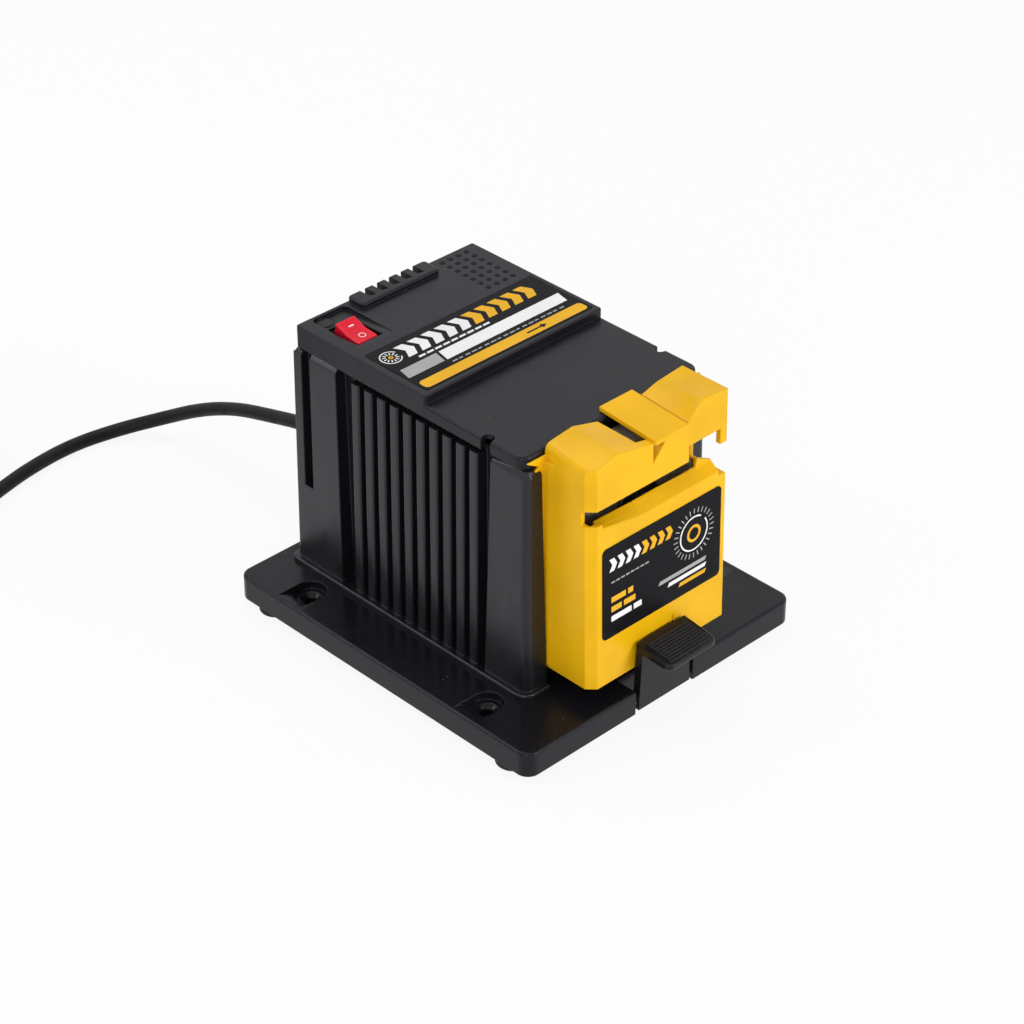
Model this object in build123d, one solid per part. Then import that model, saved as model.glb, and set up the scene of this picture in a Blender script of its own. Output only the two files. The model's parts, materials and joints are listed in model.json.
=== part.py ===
from build123d import *
import os
from math import atan2, cos, degrees, radians, sin, tan

# Bench sharpener: base plate, motor housing with a stepped top cover, a grinding
# spindle that sticks out at the front, and a lift-off guide head around the wheel.
# Millimetres.  +X right, +Y to the rear, +Z up, seen from the front (the guide head).
# The model is drawn about the middle of the base plate and shifted at export.

# ---------------------------------------------------------------- driving sizes
RUN_FIT = 0.3            # clearance between pieces that move on each other
SEAT_FIT = 0.15          # clearance of a piece in its seat
SPIN_FIT = 0.05          # radial clearance of a shaft or pin that turns
DRAFT = 0.7              # moulding draft of the housing, degrees

BASE_W = 172.0
BASE_L = 195.0
BASE_H = 12.7
BASE_FRONT = -BASE_L / 2
BASE_CORNER_R = 6.5
BASE_WALL = 2.6
BASE_RIB_W = 2.0
BASE_RIB_PITCH = 20.0

FOOT_H = 3.0
FOOT_R = 8.4
FOOT_X = BASE_W / 2 - 8.5
FOOT_Y = BASE_L / 2 - 17.5

HOLE_D = 5.0             # mounting holes
HOLE_X = BASE_W / 2 - 15.0
HOLE_Y_REAR = BASE_L / 2 - 35.0
HOLE_Y_FRONT = BASE_FRONT + 41.1
HOLE_HEAD_D = 10.0
HOLE_POCKET_R = 7.6
HOLE_POCKET_DEPTH = 4.2

HOUSING_HALF_W = 57.4
HOUSING_FRONT = BASE_FRONT + 30.3
HOUSING_REAR = BASE_L / 2 - 10.7
HOUSING_CORNER_R = 4.5   # front pillars
HOUSING_REAR_R = 2.0     # rear posts
TRIM_H = 2.6             # bevel round the top of pillars and posts
TRIM_IN = 2.0
HOUSING_TOP = 132.3      # top of the pillars, where the cover sits
HOUSING_WALL = 3.0
PLINTH_H = 2.5
PLINTH_OUT = 2.9

BAY_HALF_W = HOUSING_HALF_W - 13.2   # bay between the front pillars, at its foot
BAY_DRAFT = 1.2
BAY_BACK = HOUSING_FRONT + 7.2       # outer face of the front wall
POCKET_REAR = HOUSING_REAR - 31.5    # ribbed pocket in each side
POCKET_FRONT = HOUSING_FRONT + 26.2
POCKET_FLARE_REAR = 1.4  # the pocket is this much longer at its top
POCKET_FLARE_FRONT = 2.6
POCKET_DEPTH = 7.4
RIB_COUNT = 10
RIB_W = 5.4
RIB_FIRST_Y = POCKET_REAR - 11.6
RIB_LAST_Y = POCKET_FRONT + 8.3
RIB_PITCH = (RIB_FIRST_Y - RIB_LAST_Y) / (RIB_COUNT - 1)
RIB_TOP_GAP = 2.4
SLOT_Y0 = HOUSING_REAR - 12.4        # upright slot in each rear post
SLOT_Y1 = HOUSING_REAR - 6.8
SLOT_DEPTH = 4.5
SLOT_FOOT_Z = 60.0

COVER_HALF_W = HOUSING_HALF_W - 2.6
COVER_FRONT = HOUSING_FRONT + 4.6
COVER_REAR = HOUSING_REAR - 2.8
COVER_STEP = COVER_REAR - 85.6
COVER_LOW_TOP = HOUSING_TOP + 6.6
COVER_HIGH_TOP = HOUSING_TOP + 11.2
COVER_WALL = 2.5
COVER_CORNER_R = 5.0
REAR_CORNER_R = 1.2
DECK_EDGE_R = 1.9        # round edge of the low deck
BLOCK_EDGE_R = 0.8       # edge of the high block
NOTCH_Y0 = COVER_FRONT + 20.1
NOTCH_Y1 = COVER_FRONT + 26.1
NOTCH_DEPTH = 4.5

GUIDE_HALF_W = HOUSING_HALF_W - 15.0  # lift-off guide head
GUIDE_BOTTOM = 25.0
GUIDE_FRONT = BASE_FRONT + 4.7        # front face at its foot
GUIDE_LEAN = 1.2                      # degrees
GUIDE_BACK = COVER_FRONT - RUN_FIT
GUIDE_WALL = 2.5
GUIDE_CHAMFER = 4.0
FLANGE_T = 1.5
FLANGE_HALF_W = GUIDE_HALF_W + 7.1
FLANGE_FOOT_Z = 27.5

SHAFT_Z = 98.0
WHEEL_R = 36.0
WHEEL_FRONT = GUIDE_FRONT + 15.8
WHEEL_W = 12.0
SHAFT_R = 4.0

PAD_REACH = 17.0         # how far the catch pad stands out in front of the base
PIVOT_Z = 8.0
PIVOT_Y = BASE_FRONT + 4.0
PIN_R = 1.5

CORD_R = 3.5
CORD_EXIT_X = -10.0
CORD_EXIT_Z = 48.5
BOOT_END_Y = 118.0

# ------------------------------------------------------------- worked-out sizes
BASE_BOTTOM = FOOT_H
BASE_TOP = BASE_BOTTOM + BASE_H
INNER_HALF_W = HOUSING_HALF_W - POCKET_DEPTH - HOUSING_WALL
INNER_FRONT = BAY_BACK + HOUSING_WALL
INNER_REAR = HOUSING_REAR - HOUSING_WALL - 1.3
WHEEL_BACK = WHEEL_FRONT + WHEEL_W
ORIGIN_Y = PAD_REACH / 2  # moves the middle of the whole outline to y = 0


# ------------------------------------------------------------------- primitives
def block(x0, x1, y0, y1, z0, z1):
    """A box between two corners."""
    middle = Pos((x0 + x1) / 2, (y0 + y1) / 2, (z0 + z1) / 2)
    return middle * Box(abs(x1 - x0), abs(y1 - y0), abs(z1 - z0))


def rod_x(radius, x0, x1, y, z):
    return Pos((x0 + x1) / 2, y, z) * Rot(0, 90, 0) * Cylinder(radius, abs(x1 - x0))


def rod_y(radius, y0, y1, x=0.0, z=SHAFT_Z):
    return Pos(x, (y0 + y1) / 2, z) * Rot(90, 0, 0) * Cylinder(radius, abs(y1 - y0))


def rod_z(radius, z0, z1, x=0.0, y=0.0):
    return Pos(x, y, (z0 + z1) / 2) * Cylinder(radius, abs(z1 - z0))


def cone_z(r_low, r_high, z0, z1, x=0.0, y=0.0):
    return Pos(x, y, (z0 + z1) / 2) * Cone(r_low, r_high, abs(z1 - z0))


def profile_yz(points, x0, x1):
    """A prism along X from corner points given as (y, z)."""
    face = make_face(Polyline(*[(x0, y, z) for y, z in points], close=True))
    return extrude(face, amount=x1 - x0, dir=(1, 0, 0))


def profile_xz(points, y0, y1):
    """A prism along Y from corner points given as (x, z)."""
    face = make_face(Polyline(*[(x, y0, z) for x, z in points], close=True))
    return extrude(face, amount=y1 - y0, dir=(0, 1, 0))


def profile_xy(points, z0, z1):
    """An upright prism from corner points given as (x, y)."""
    face = make_face(Polyline(*[(x, y, z0) for x, y in points], close=True))
    return extrude(face, amount=z1 - z0, dir=(0, 0, 1))


def slab(x0, x1, y0, y1, z0, z1, radius, taper=0.0, rear_radius=None):
    """An upright block with round corners that narrows upwards by its draft."""
    plan = RectangleRounded(x1 - x0, y1 - y0, radius)
    if rear_radius is not None:
        plan = Rectangle(x1 - x0, y1 - y0)
        plan = fillet(plan.vertices().sort_by(Axis.Y)[:2], radius)
        plan = fillet(plan.vertices().sort_by(Axis.Y)[-2:], rear_radius)
    placed = Pos((x0 + x1) / 2, (y0 + y1) / 2, z0) * plan
    return extrude(placed, amount=z1 - z0, taper=taper)


def both_sides(shape):
    """The shape and its mirror image across the middle plane."""
    return shape + mirror(shape, Plane.YZ)


def lean(height):
    """Inward lean of the guide head's front face at a height above its foot."""
    return height * tan(radians(GUIDE_LEAN))


# ------------------------------------------------------------------- base plate
LATCH_BAY_HALF_W = 18.6
LATCH_BAY_DEPTH = 12.5
FOOT_STEM_R = 3.0
FOOT_STEM_H = 6.0
BRACKET_SCREW_X = 20.0
FRONT_BRACKET_SCREW_Y = INNER_FRONT + 11.5
REAR_BRACKET_SCREW_Y = INNER_FRONT + 110.5
BASE_SCREW_R = 2.0
BASE_SCREW_X = HOUSING_HALF_W - 5.4
BASE_SCREW_Y_REAR = HOUSING_REAR - 8.8
BASE_SCREW_Y_FRONT = HOUSING_FRONT + 13.2


def four(x, y_rear, y_front):
    return [(sx * x, y) for sx in (-1, 1) for y in (y_rear, y_front)]


def mount_spots():
    return four(HOLE_X, HOLE_Y_REAR, HOLE_Y_FRONT)


def foot_spots():
    return four(FOOT_X, FOOT_Y, -FOOT_Y)


def base_screw_spots():
    return four(BASE_SCREW_X, BASE_SCREW_Y_REAR, BASE_SCREW_Y_FRONT)


def bracket_screw_spots():
    return four(BRACKET_SCREW_X, REAR_BRACKET_SCREW_Y, FRONT_BRACKET_SCREW_Y)


def mount_pocket(x, y):
    """Countersunk hole in a round pocket that runs out towards the side edge."""
    side = 1 if x > 0 else -1
    floor = BASE_TOP - HOLE_POCKET_DEPTH
    ramp_end = side * (BASE_W / 2 - 2.0)
    points = [(x, floor), (ramp_end, BASE_TOP), (ramp_end, BASE_TOP + 1), (x, BASE_TOP + 1)]
    cut = rod_z(HOLE_POCKET_R, floor, BASE_TOP + 1, x, y)
    cut += profile_xz(points, y - HOLE_POCKET_R, y + HOLE_POCKET_R)
    cut += rod_z(HOLE_D / 2, BASE_BOTTOM - 1, floor + 1, x, y)
    head = (HOLE_HEAD_D - HOLE_D) / 2
    cut += cone_z(HOLE_D / 2, HOLE_HEAD_D / 2, floor - head, floor, x, y)
    return cut


def base_plate():
    half_w, half_l = BASE_W / 2, BASE_L / 2
    outer = slab(-half_w, half_w, -half_l, half_l, BASE_BOTTOM, BASE_TOP, BASE_CORNER_R)
    outer = fillet(outer.faces().sort_by(Axis.Z)[-1].edges(), 1.4)
    ceiling = BASE_TOP - BASE_WALL
    hollow = slab(
        -half_w + BASE_WALL, half_w - BASE_WALL, -half_l + BASE_WALL, half_l - BASE_WALL,
        BASE_BOTTOM - 1, ceiling, BASE_CORNER_R - BASE_WALL,
    )
    keep = Part()
    count_x = int(half_w // BASE_RIB_PITCH)
    count_y = int(half_l // BASE_RIB_PITCH)
    rib_floor = BASE_BOTTOM + 1.0
    for i in range(-count_x, count_x + 1):
        x = i * BASE_RIB_PITCH
        keep += block(x - BASE_RIB_W / 2, x + BASE_RIB_W / 2, -half_l, half_l, rib_floor, ceiling)
    for j in range(-count_y, count_y + 1):
        y = j * BASE_RIB_PITCH
        keep += block(-half_w, half_w, y - BASE_RIB_W / 2, y + BASE_RIB_W / 2, rib_floor, ceiling)
    for x, y in mount_spots() + foot_spots():
        keep += rod_z(HOLE_POCKET_R + 2, BASE_BOTTOM, ceiling, x, y)
    for x, y in base_screw_spots() + bracket_screw_spots():
        keep += rod_z(BASE_SCREW_R + 3, BASE_BOTTOM, ceiling, x, y)
    bay_back = BASE_FRONT + LATCH_BAY_DEPTH
    lug_x = LATCH_BAY_HALF_W + BASE_WALL + 2.0
    keep += block(-lug_x, lug_x, BASE_FRONT, bay_back + BASE_WALL, BASE_BOTTOM, ceiling)
    plate = outer - (hollow - keep)
    plate -= block(
        -LATCH_BAY_HALF_W, LATCH_BAY_HALF_W, BASE_FRONT - 1, bay_back, BASE_BOTTOM - 1, BASE_TOP + 1
    )
    plate -= rod_x(PIN_R + SPIN_FIT, -lug_x + 1.5, lug_x - 1.5, PIVOT_Y, PIVOT_Z)
    for x, y in mount_spots():
        plate -= mount_pocket(x, y)
    for x, y in foot_spots():
        plate -= rod_z(FOOT_STEM_R, BASE_BOTTOM - 1, BASE_BOTTOM + FOOT_STEM_H, x, y)
    for x, y in base_screw_spots():
        plate -= rod_z(BASE_SCREW_R + SEAT_FIT, BASE_BOTTOM - 1, BASE_TOP + 1, x, y)
        plate -= rod_z(BASE_SCREW_R + 2.2, BASE_BOTTOM - 1, BASE_BOTTOM + 3, x, y)
    for x, y in bracket_screw_spots():
        plate -= rod_z(BASE_SCREW_R - 0.3, BASE_BOTTOM + 2, BASE_TOP + 1, x, y)
    return plate


def rubber_feet():
    feet = Part()
    for x, y in foot_spots():
        disc = rod_z(FOOT_R, 0, FOOT_H, x, y)
        disc = fillet(disc.edges().sort_by(Axis.Z)[0], 0.8)
        feet += disc + rod_z(FOOT_STEM_R, FOOT_H, FOOT_H + FOOT_STEM_H - 0.5, x, y)
    return feet


# ---------------------------------------------------------------------- housing
LUG_INSET = 9.0
LUG_TOP_H = 8.0
COVER_SCREW_R = 1.7
GROOVE_Y0 = GUIDE_BACK - FLANGE_T - RUN_FIT
GROOVE_FLOOR = FLANGE_FOOT_Z - RUN_FIT
SHAFT_HOLE_R = 10.0


def cover_screw_spots():
    x = INNER_HALF_W - LUG_INSET / 2
    return four(x, INNER_REAR - LUG_INSET / 2, INNER_FRONT + LUG_INSET / 2)


def side_rib(y):
    """One upright rib on the left side, leaning with the housing's draft."""
    height = HOUSING_TOP - RIB_TOP_GAP - BASE_TOP
    drift = tan(radians(DRAFT))
    outer = -HOUSING_HALF_W + PLINTH_H * drift
    inner = -INNER_HALF_W - HOUSING_WALL / 2
    plan = Pos((outer + inner) / 2, y, BASE_TOP) * RectangleRounded(inner - outer, RIB_W, 1.2)
    sheared = extrude(plan, amount=height, dir=(drift, 0, 1))
    return sheared


def top_trim():
    """What the bevel takes off round the top of the pillars and posts."""
    z0 = HOUSING_TOP - TRIM_H
    drift = (z0 - BASE_TOP) * tan(radians(DRAFT))
    half, front, rear = HOUSING_HALF_W - drift, HOUSING_FRONT + drift, HOUSING_REAR - drift
    core = slab(
        -half, half, front, rear, z0, HOUSING_TOP + 1, HOUSING_CORNER_R - 0.5,
        degrees(atan2(TRIM_IN, TRIM_H)), HOUSING_REAR_R - 0.5,
    )
    return block(-half - 5, half + 5, front - 5, rear + 5, z0, HOUSING_TOP + 1) - core


def housing_body():
    body = slab(
        -HOUSING_HALF_W, HOUSING_HALF_W, HOUSING_FRONT, HOUSING_REAR,
        BASE_TOP, HOUSING_TOP, HOUSING_CORNER_R, DRAFT, HOUSING_REAR_R,
    )
    body -= top_trim()
    top_shrink = (HOUSING_TOP - BASE_TOP) * tan(radians(DRAFT))
    # bay between the front pillars, wider at the top
    bay = Pos(0, (HOUSING_FRONT - 10 + BAY_BACK) / 2, BASE_TOP - 1) * Rectangle(
        2 * BAY_HALF_W, BAY_BACK - HOUSING_FRONT + 10
    )
    bay = extrude(bay, amount=HOUSING_TOP - BASE_TOP + 2, taper=-BAY_DRAFT)
    body -= bay & block(-60, 60, HOUSING_FRONT - 20, BAY_BACK, 0, HOUSING_TOP + 2)
    # ribbed pockets, slots and the hollow for the motor
    pocket_x = INNER_HALF_W + HOUSING_WALL
    foot_z = BASE_TOP + PLINTH_H
    sides = profile_yz(
        [(POCKET_FRONT, foot_z), (POCKET_REAR, foot_z),
         (POCKET_REAR + POCKET_FLARE_REAR, HOUSING_TOP + 1),
         (POCKET_FRONT - POCKET_FLARE_FRONT, HOUSING_TOP + 1)],
        -HOUSING_HALF_W - 5, -pocket_x,
    )
    slot_x = HOUSING_HALF_W - top_shrink - SLOT_DEPTH
    sides += block(
        -HOUSING_HALF_W - 5, -slot_x, SLOT_Y0, SLOT_Y1, SLOT_FOOT_Z, HOUSING_TOP + 1
    )
    body -= both_sides(sides)
    body -= block(
        -INNER_HALF_W, INNER_HALF_W, INNER_FRONT, INNER_REAR, BASE_TOP - 1, HOUSING_TOP + 1
    )
    ribs = Part()
    for i in range(RIB_COUNT):
        ribs += side_rib(RIB_FIRST_Y - i * RIB_PITCH)
    body += both_sides(ribs)
    # plinth, open in front of the bay
    plinth = slab(
        -HOUSING_HALF_W - PLINTH_OUT, HOUSING_HALF_W + PLINTH_OUT,
        HOUSING_FRONT - PLINTH_OUT + 1, HOUSING_REAR + PLINTH_OUT,
        BASE_TOP, BASE_TOP + PLINTH_H, HOUSING_CORNER_R + PLINTH_OUT - 1, 0.0,
        HOUSING_REAR_R + PLINTH_OUT,
    )
    plinth = fillet(plinth.faces().sort_by(Axis.Z)[-1].edges(), 0.9)
    plinth -= block(
        -INNER_HALF_W, INNER_HALF_W, INNER_FRONT, INNER_REAR, BASE_TOP - 1, HOUSING_TOP
    )
    plinth -= block(
        -BAY_HALF_W, BAY_HALF_W, HOUSING_FRONT - 10, BAY_BACK, BASE_TOP - 1, HOUSING_TOP
    )
    body += plinth
    # rails for the guide head's flanges
    body -= both_sides(
        block(
            -FLANGE_HALF_W - RUN_FIT, -BAY_HALF_W + 1, GROOVE_Y0, COVER_FRONT,
            GROOVE_FLOOR, HOUSING_TOP + 1,
        )
    )
    body -= rod_y(SHAFT_HOLE_R, BAY_BACK - 1, INNER_FRONT + 1)
    body -= rod_y(BOOT_NECK_R + SEAT_FIT, INNER_REAR - 1, HOUSING_REAR + 1, CORD_EXIT_X, CORD_EXIT_Z)
    # lugs that take the cover screws, and pilot holes for the base screws
    for x, y in cover_screw_spots():
        half = LUG_INSET / 2
        lug = block(x - half, x + half, y - half, y + half, HOUSING_TOP - LUG_TOP_H, HOUSING_TOP)
        body += lug - rod_z(COVER_SCREW_R + SEAT_FIT, HOUSING_TOP - 20, HOUSING_TOP + 1, x, y)
    for x, y in base_screw_spots():
        body -= rod_z(BASE_SCREW_R - 0.3, BASE_TOP - 1, BASE_TOP + 14, x, y)
    return body


# -------------------------------------------------------------------- top cover
SWITCH_X = -COVER_HALF_W + 15.8
SWITCH_Y = COVER_REAR - 22.2
SWITCH_W = 15.0
SWITCH_L = 21.0
ROCKER_W = 11.6
ROCKER_L = 16.6
RECESS_DEPTH = 1.8
HOOD_HALF_W = 24.0
HOOD_Y0 = COVER_REAR - 11.2
HOOD_H = 2.6
HOOD_SLOTS = 5
HOOD_PITCH = 7.4
HOOD_SLOT_W = 3.6
DIMPLE_X = COVER_HALF_W - 16.2
DIMPLE_Y = COVER_REAR - 20.6
DIMPLE_COLUMNS = 4
DIMPLE_ROWS = 7
DIMPLE_PITCH = 5.2
DIMPLE_R = 1.55
LABEL_X0 = -COVER_HALF_W + 3.8
LABEL_X1 = COVER_HALF_W - 2.4
LABEL_Y0 = COVER_STEP + 3.0
LABEL_Y1 = COVER_REAR - 41.8
LABEL_T = 0.4
LABEL_SINK = 0.25


def cover_outline(inset, z0, top_inset, round_edges):
    """Low front deck and high rear block, inset all round for the inner form."""
    half = COVER_HALF_W - inset
    front_y, rear_y, step_y = COVER_FRONT + inset, COVER_REAR - inset, COVER_STEP + inset
    low_top, high_top = COVER_LOW_TOP - top_inset, COVER_HIGH_TOP - top_inset
    front = slab(-half, half, front_y, rear_y, z0, low_top, COVER_CORNER_R - inset)
    rear = slab(-half, half, step_y, rear_y, z0, high_top, REAR_CORNER_R - inset * 0.4)
    if round_edges:
        front = fillet(front.faces().sort_by(Axis.Z)[-1].edges(), DECK_EDGE_R)
        rear = fillet(rear.faces().sort_by(Axis.Z)[-1].edges(), BLOCK_EDGE_R)
    front = front & block(-100, 100, COVER_FRONT - 5, COVER_STEP + 10, z0, COVER_HIGH_TOP)
    return front + rear


def vent_hood():
    """Raised strip along the rear edge with open slots between round-topped ribs."""
    z0, z1 = COVER_HIGH_TOP - 1, COVER_HIGH_TOP + HOOD_H
    hood = slab(-HOOD_HALF_W, HOOD_HALF_W, HOOD_Y0, COVER_REAR, z0, z1, 2.2)
    return fillet(hood.faces().sort_by(Axis.Z)[-1].edges(), 1.1)


def hood_slots():
    cut = Part()
    for i in range(HOOD_SLOTS):
        x = (i - (HOOD_SLOTS - 1) / 2) * HOOD_PITCH
        y0, y1 = HOOD_Y0 + 3.4, COVER_REAR + 1
        cut += block(
            x - HOOD_SLOT_W / 2, x + HOOD_SLOT_W / 2, y0, y1,
            COVER_HIGH_TOP - 6.0, COVER_HIGH_TOP + HOOD_H + 1,
        )
    return cut


def switch_recess():
    """Shallow dish around the switch, deepest at the rear, fading to the front."""
    x0, x1 = SWITCH_X - SWITCH_W / 2 - 1.2, SWITCH_X + SWITCH_W / 2 + 4.2
    y0, y1 = LABEL_Y1 + 5.5, SWITCH_Y + SWITCH_L / 2 + 9.6
    wedge = profile_yz(
        [(y0, COVER_HIGH_TOP), (y1 - 6, COVER_HIGH_TOP - RECESS_DEPTH),
         (y1, COVER_HIGH_TOP - RECESS_DEPTH), (y1, COVER_HIGH_TOP + 1), (y0, COVER_HIGH_TOP + 1)],
        x0, x1,
    )
    return wedge & slab(x0, x1, y0, y1, COVER_HIGH_TOP - 4, COVER_HIGH_TOP + 1, 3.0)


def top_cover():
    cover = cover_outline(0, HOUSING_TOP, 0, True)
    cover -= cover_outline(COVER_WALL, HOUSING_TOP - 1, COVER_WALL, False)
    cover += vent_hood()
    cover -= hood_slots()
    cover -= switch_recess()
    # bosses for the cover screws, then the opening that the switch snaps into
    for x, y in cover_screw_spots():
        top = COVER_HIGH_TOP if y > COVER_STEP else COVER_LOW_TOP
        boss = rod_z(COVER_SCREW_R + 2.3, HOUSING_TOP, top - COVER_WALL / 2, x, y)
        cover += boss - rod_z(COVER_SCREW_R - 0.3, HOUSING_TOP - 1, top - COVER_WALL, x, y)
    cover -= block(
        SWITCH_X - SWITCH_W / 2, SWITCH_X + SWITCH_W / 2,
        SWITCH_Y - SWITCH_L / 2, SWITCH_Y + SWITCH_L / 2, HOUSING_TOP, COVER_HIGH_TOP + 1,
    )
    for i in range(DIMPLE_COLUMNS):
        for j in range(DIMPLE_ROWS):
            x = DIMPLE_X + (i - (DIMPLE_COLUMNS - 1) / 2) * DIMPLE_PITCH
            y = DIMPLE_Y + (j - (DIMPLE_ROWS - 1) / 2) * DIMPLE_PITCH
            cover -= cone_z(0.7, DIMPLE_R, COVER_HIGH_TOP - 1.3, COVER_HIGH_TOP + 0.01, x, y)
    cover -= block(
        LABEL_X0, LABEL_X1, LABEL_Y0, LABEL_Y1, COVER_HIGH_TOP - LABEL_SINK, COVER_HIGH_TOP + 0.5
    )
    # side notches with round inner ends
    notch_r = (NOTCH_Y1 - NOTCH_Y0) / 2 - 0.1
    notch = slab(
        -COVER_HALF_W - NOTCH_DEPTH, -COVER_HALF_W + NOTCH_DEPTH, NOTCH_Y0, NOTCH_Y1,
        HOUSING_TOP - 1, COVER_LOW_TOP + 1, notch_r,
    )
    cover -= both_sides(notch)
    return cover


def top_label():
    z = COVER_HIGH_TOP - LABEL_SINK
    fit = SEAT_FIT
    return slab(LABEL_X0 + fit, LABEL_X1 - fit, LABEL_Y0 + fit, LABEL_Y1 - fit, z, z + LABEL_T, 1.5)


# ----------------------------------------------------------------------- switch
SWITCH_TOP = COVER_HIGH_TOP - RECESS_DEPTH - 0.9
SWITCH_FLOOR = COVER_HIGH_TOP - 23.5
ROCKER_PIVOT_Z = COVER_HIGH_TOP - 5.3
ROCKER_PIN_R = 1.2
ROCKER_TILT = 12.5       # degrees each way; the rear end is up when off
ROCKER_CREST = 6.6       # height of both ends above the pivot
ROCKER_VALLEY = 5.4


def switch_body():
    """Snap-in switch case with an open well for the rocker."""
    half_w, half_l = SWITCH_W / 2 - SEAT_FIT, SWITCH_L / 2 - SEAT_FIT
    case = block(
        SWITCH_X - half_w, SWITCH_X + half_w, SWITCH_Y - half_l, SWITCH_Y + half_l,
        SWITCH_FLOOR, SWITCH_TOP,
    )
    well_w, well_l = ROCKER_W / 2 + RUN_FIT, ROCKER_L / 2 + 1.3
    case -= block(
        SWITCH_X - well_w, SWITCH_X + well_w, SWITCH_Y - well_l, SWITCH_Y + well_l,
        ROCKER_PIVOT_Z - 6.5, SWITCH_TOP + 1,
    )
    for y in (-6.0, 6.0):
        case += block(SWITCH_X - 2.4, SWITCH_X + 2.4, SWITCH_Y + y - 0.4, SWITCH_Y + y + 0.4,
                      SWITCH_FLOOR - 8.0, SWITCH_FLOOR)
    reach = half_w - 0.4
    return case + rod_x(ROCKER_PIN_R, SWITCH_X - reach, SWITCH_X + reach, SWITCH_Y, ROCKER_PIVOT_Z)


def switch_rocker():
    """Rocker with two flats that meet in a shallow valley, tilted to off."""
    half_l = ROCKER_L / 2
    points = [
        (-half_l, ROCKER_CREST), (0, ROCKER_VALLEY), (half_l, ROCKER_CREST), (half_l, 0.6),
        (3.2, -3.6), (-3.2, -3.6), (-half_l, 0.6),
    ]
    body = profile_yz(points, -ROCKER_W / 2, ROCKER_W / 2)
    body = fillet(body.edges().filter_by(Axis.X).sort_by(Axis.Z)[-2:], 0.6)
    rims = [e for e in body.edges() if abs(e.center().X) > ROCKER_W / 2 - 0.01 and e.center().Z > 4]
    body = fillet(rims, 0.9)
    body -= rod_x(ROCKER_PIN_R + SPIN_FIT, -ROCKER_W, ROCKER_W, 0, 0)
    return Pos(SWITCH_X, SWITCH_Y, ROCKER_PIVOT_Z) * Rot(ROCKER_TILT, 0, 0) * body


# -------------------------------------------------------------------- guide head
LEDGE_Z = HOUSING_TOP - 28.0      # lower lip of the front slot
LEDGE_LEFT_Z = LEDGE_Z + 4.0
LEDGE_TOP_Z = LEDGE_Z + 4.4
LEDGE_BACK = GUIDE_FRONT + 7.8
LEDGE_T = 2.8
SLOT_TOP_Z = LEDGE_Z + 13.7
LEDGE_KINK_X = -11.8
LEDGE_LEFT_X = -GUIDE_HALF_W + 7.4
FIN_X = 28.0
FIN_TOP_Z = LEDGE_Z + 8.9
WINDOW_X0 = 18.5
WINDOW_X1 = GUIDE_HALF_W - 4.0
WINDOW_TOP_Z = SLOT_TOP_Z + 8.0
SIDE_TOP_Z = LEDGE_Z - 2.3
SIDE_BACK = GUIDE_BACK - 7.6      # the open side runs back to here
KNIFE_X0 = -10.4
KNIFE_X1 = 4.0
KNIFE_FRONT = GUIDE_FRONT + 6.8
VALLEY_X = 16.5
VEE_Z = HOUSING_TOP - 5.3
FLAP_X0 = -4.0
FLAP_T = 2.3
FLAP_REAR = COVER_FRONT + 5.1
FLAP_FRONT = GUIDE_FRONT + 1.0
WHEEL_ROOM = 1.5
CATCH_Z0 = 33.0
CATCH_Z1 = 38.4
GUIDE_LABEL_Z0 = 49.4
CREST_X = -26.0                   # top of the left guide face
FACET_X = 26.5                    # top of the right guide face
# heights of the top edges above the cover's low deck, rear then front
LEFT_RISE = (3.2, 0.3)
CREST_RISE = (4.6, 3.0)
INNER_RISE = (-1.7, -1.5)
FLAP_RISE = (2.0, 0.0)
FACET_RISE = (4.6, 7.5)
RIGHT_RISE = (6.1, 6.1)
SHOULDER_IN = (0.0, 0.5, 1.7, 3.6)    # round shoulder along the left top edge
SHOULDER_DOWN = (3.6, 1.7, 0.5, 0.0)


def head_face(end, y):
    """Cross-section of the guide head's top, at its rear (0) or front (1) end."""
    deck = COVER_LOW_TOP
    floor = GUIDE_BOTTOM - 2
    left, right = deck + LEFT_RISE[end], deck + RIGHT_RISE[end]
    points = [(-GUIDE_HALF_W, floor)]
    points += [(-GUIDE_HALF_W + a, left - b) for a, b in zip(SHOULDER_IN, SHOULDER_DOWN)]
    points += [
        (CREST_X, deck + CREST_RISE[end]), (FLAP_X0 + 0.4, deck + INNER_RISE[end]),
        (KNIFE_X1, deck + INNER_RISE[end]), (KNIFE_X1 + 0.01, deck + FLAP_RISE[end]),
        (VALLEY_X, deck + FLAP_RISE[end]), (FACET_X, deck + FACET_RISE[end]),
        (GUIDE_HALF_W + 1, right), (GUIDE_HALF_W + 1, floor),
    ]
    return make_face(Polyline(*[(x, y, z) for x, z in points], close=True))


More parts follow.
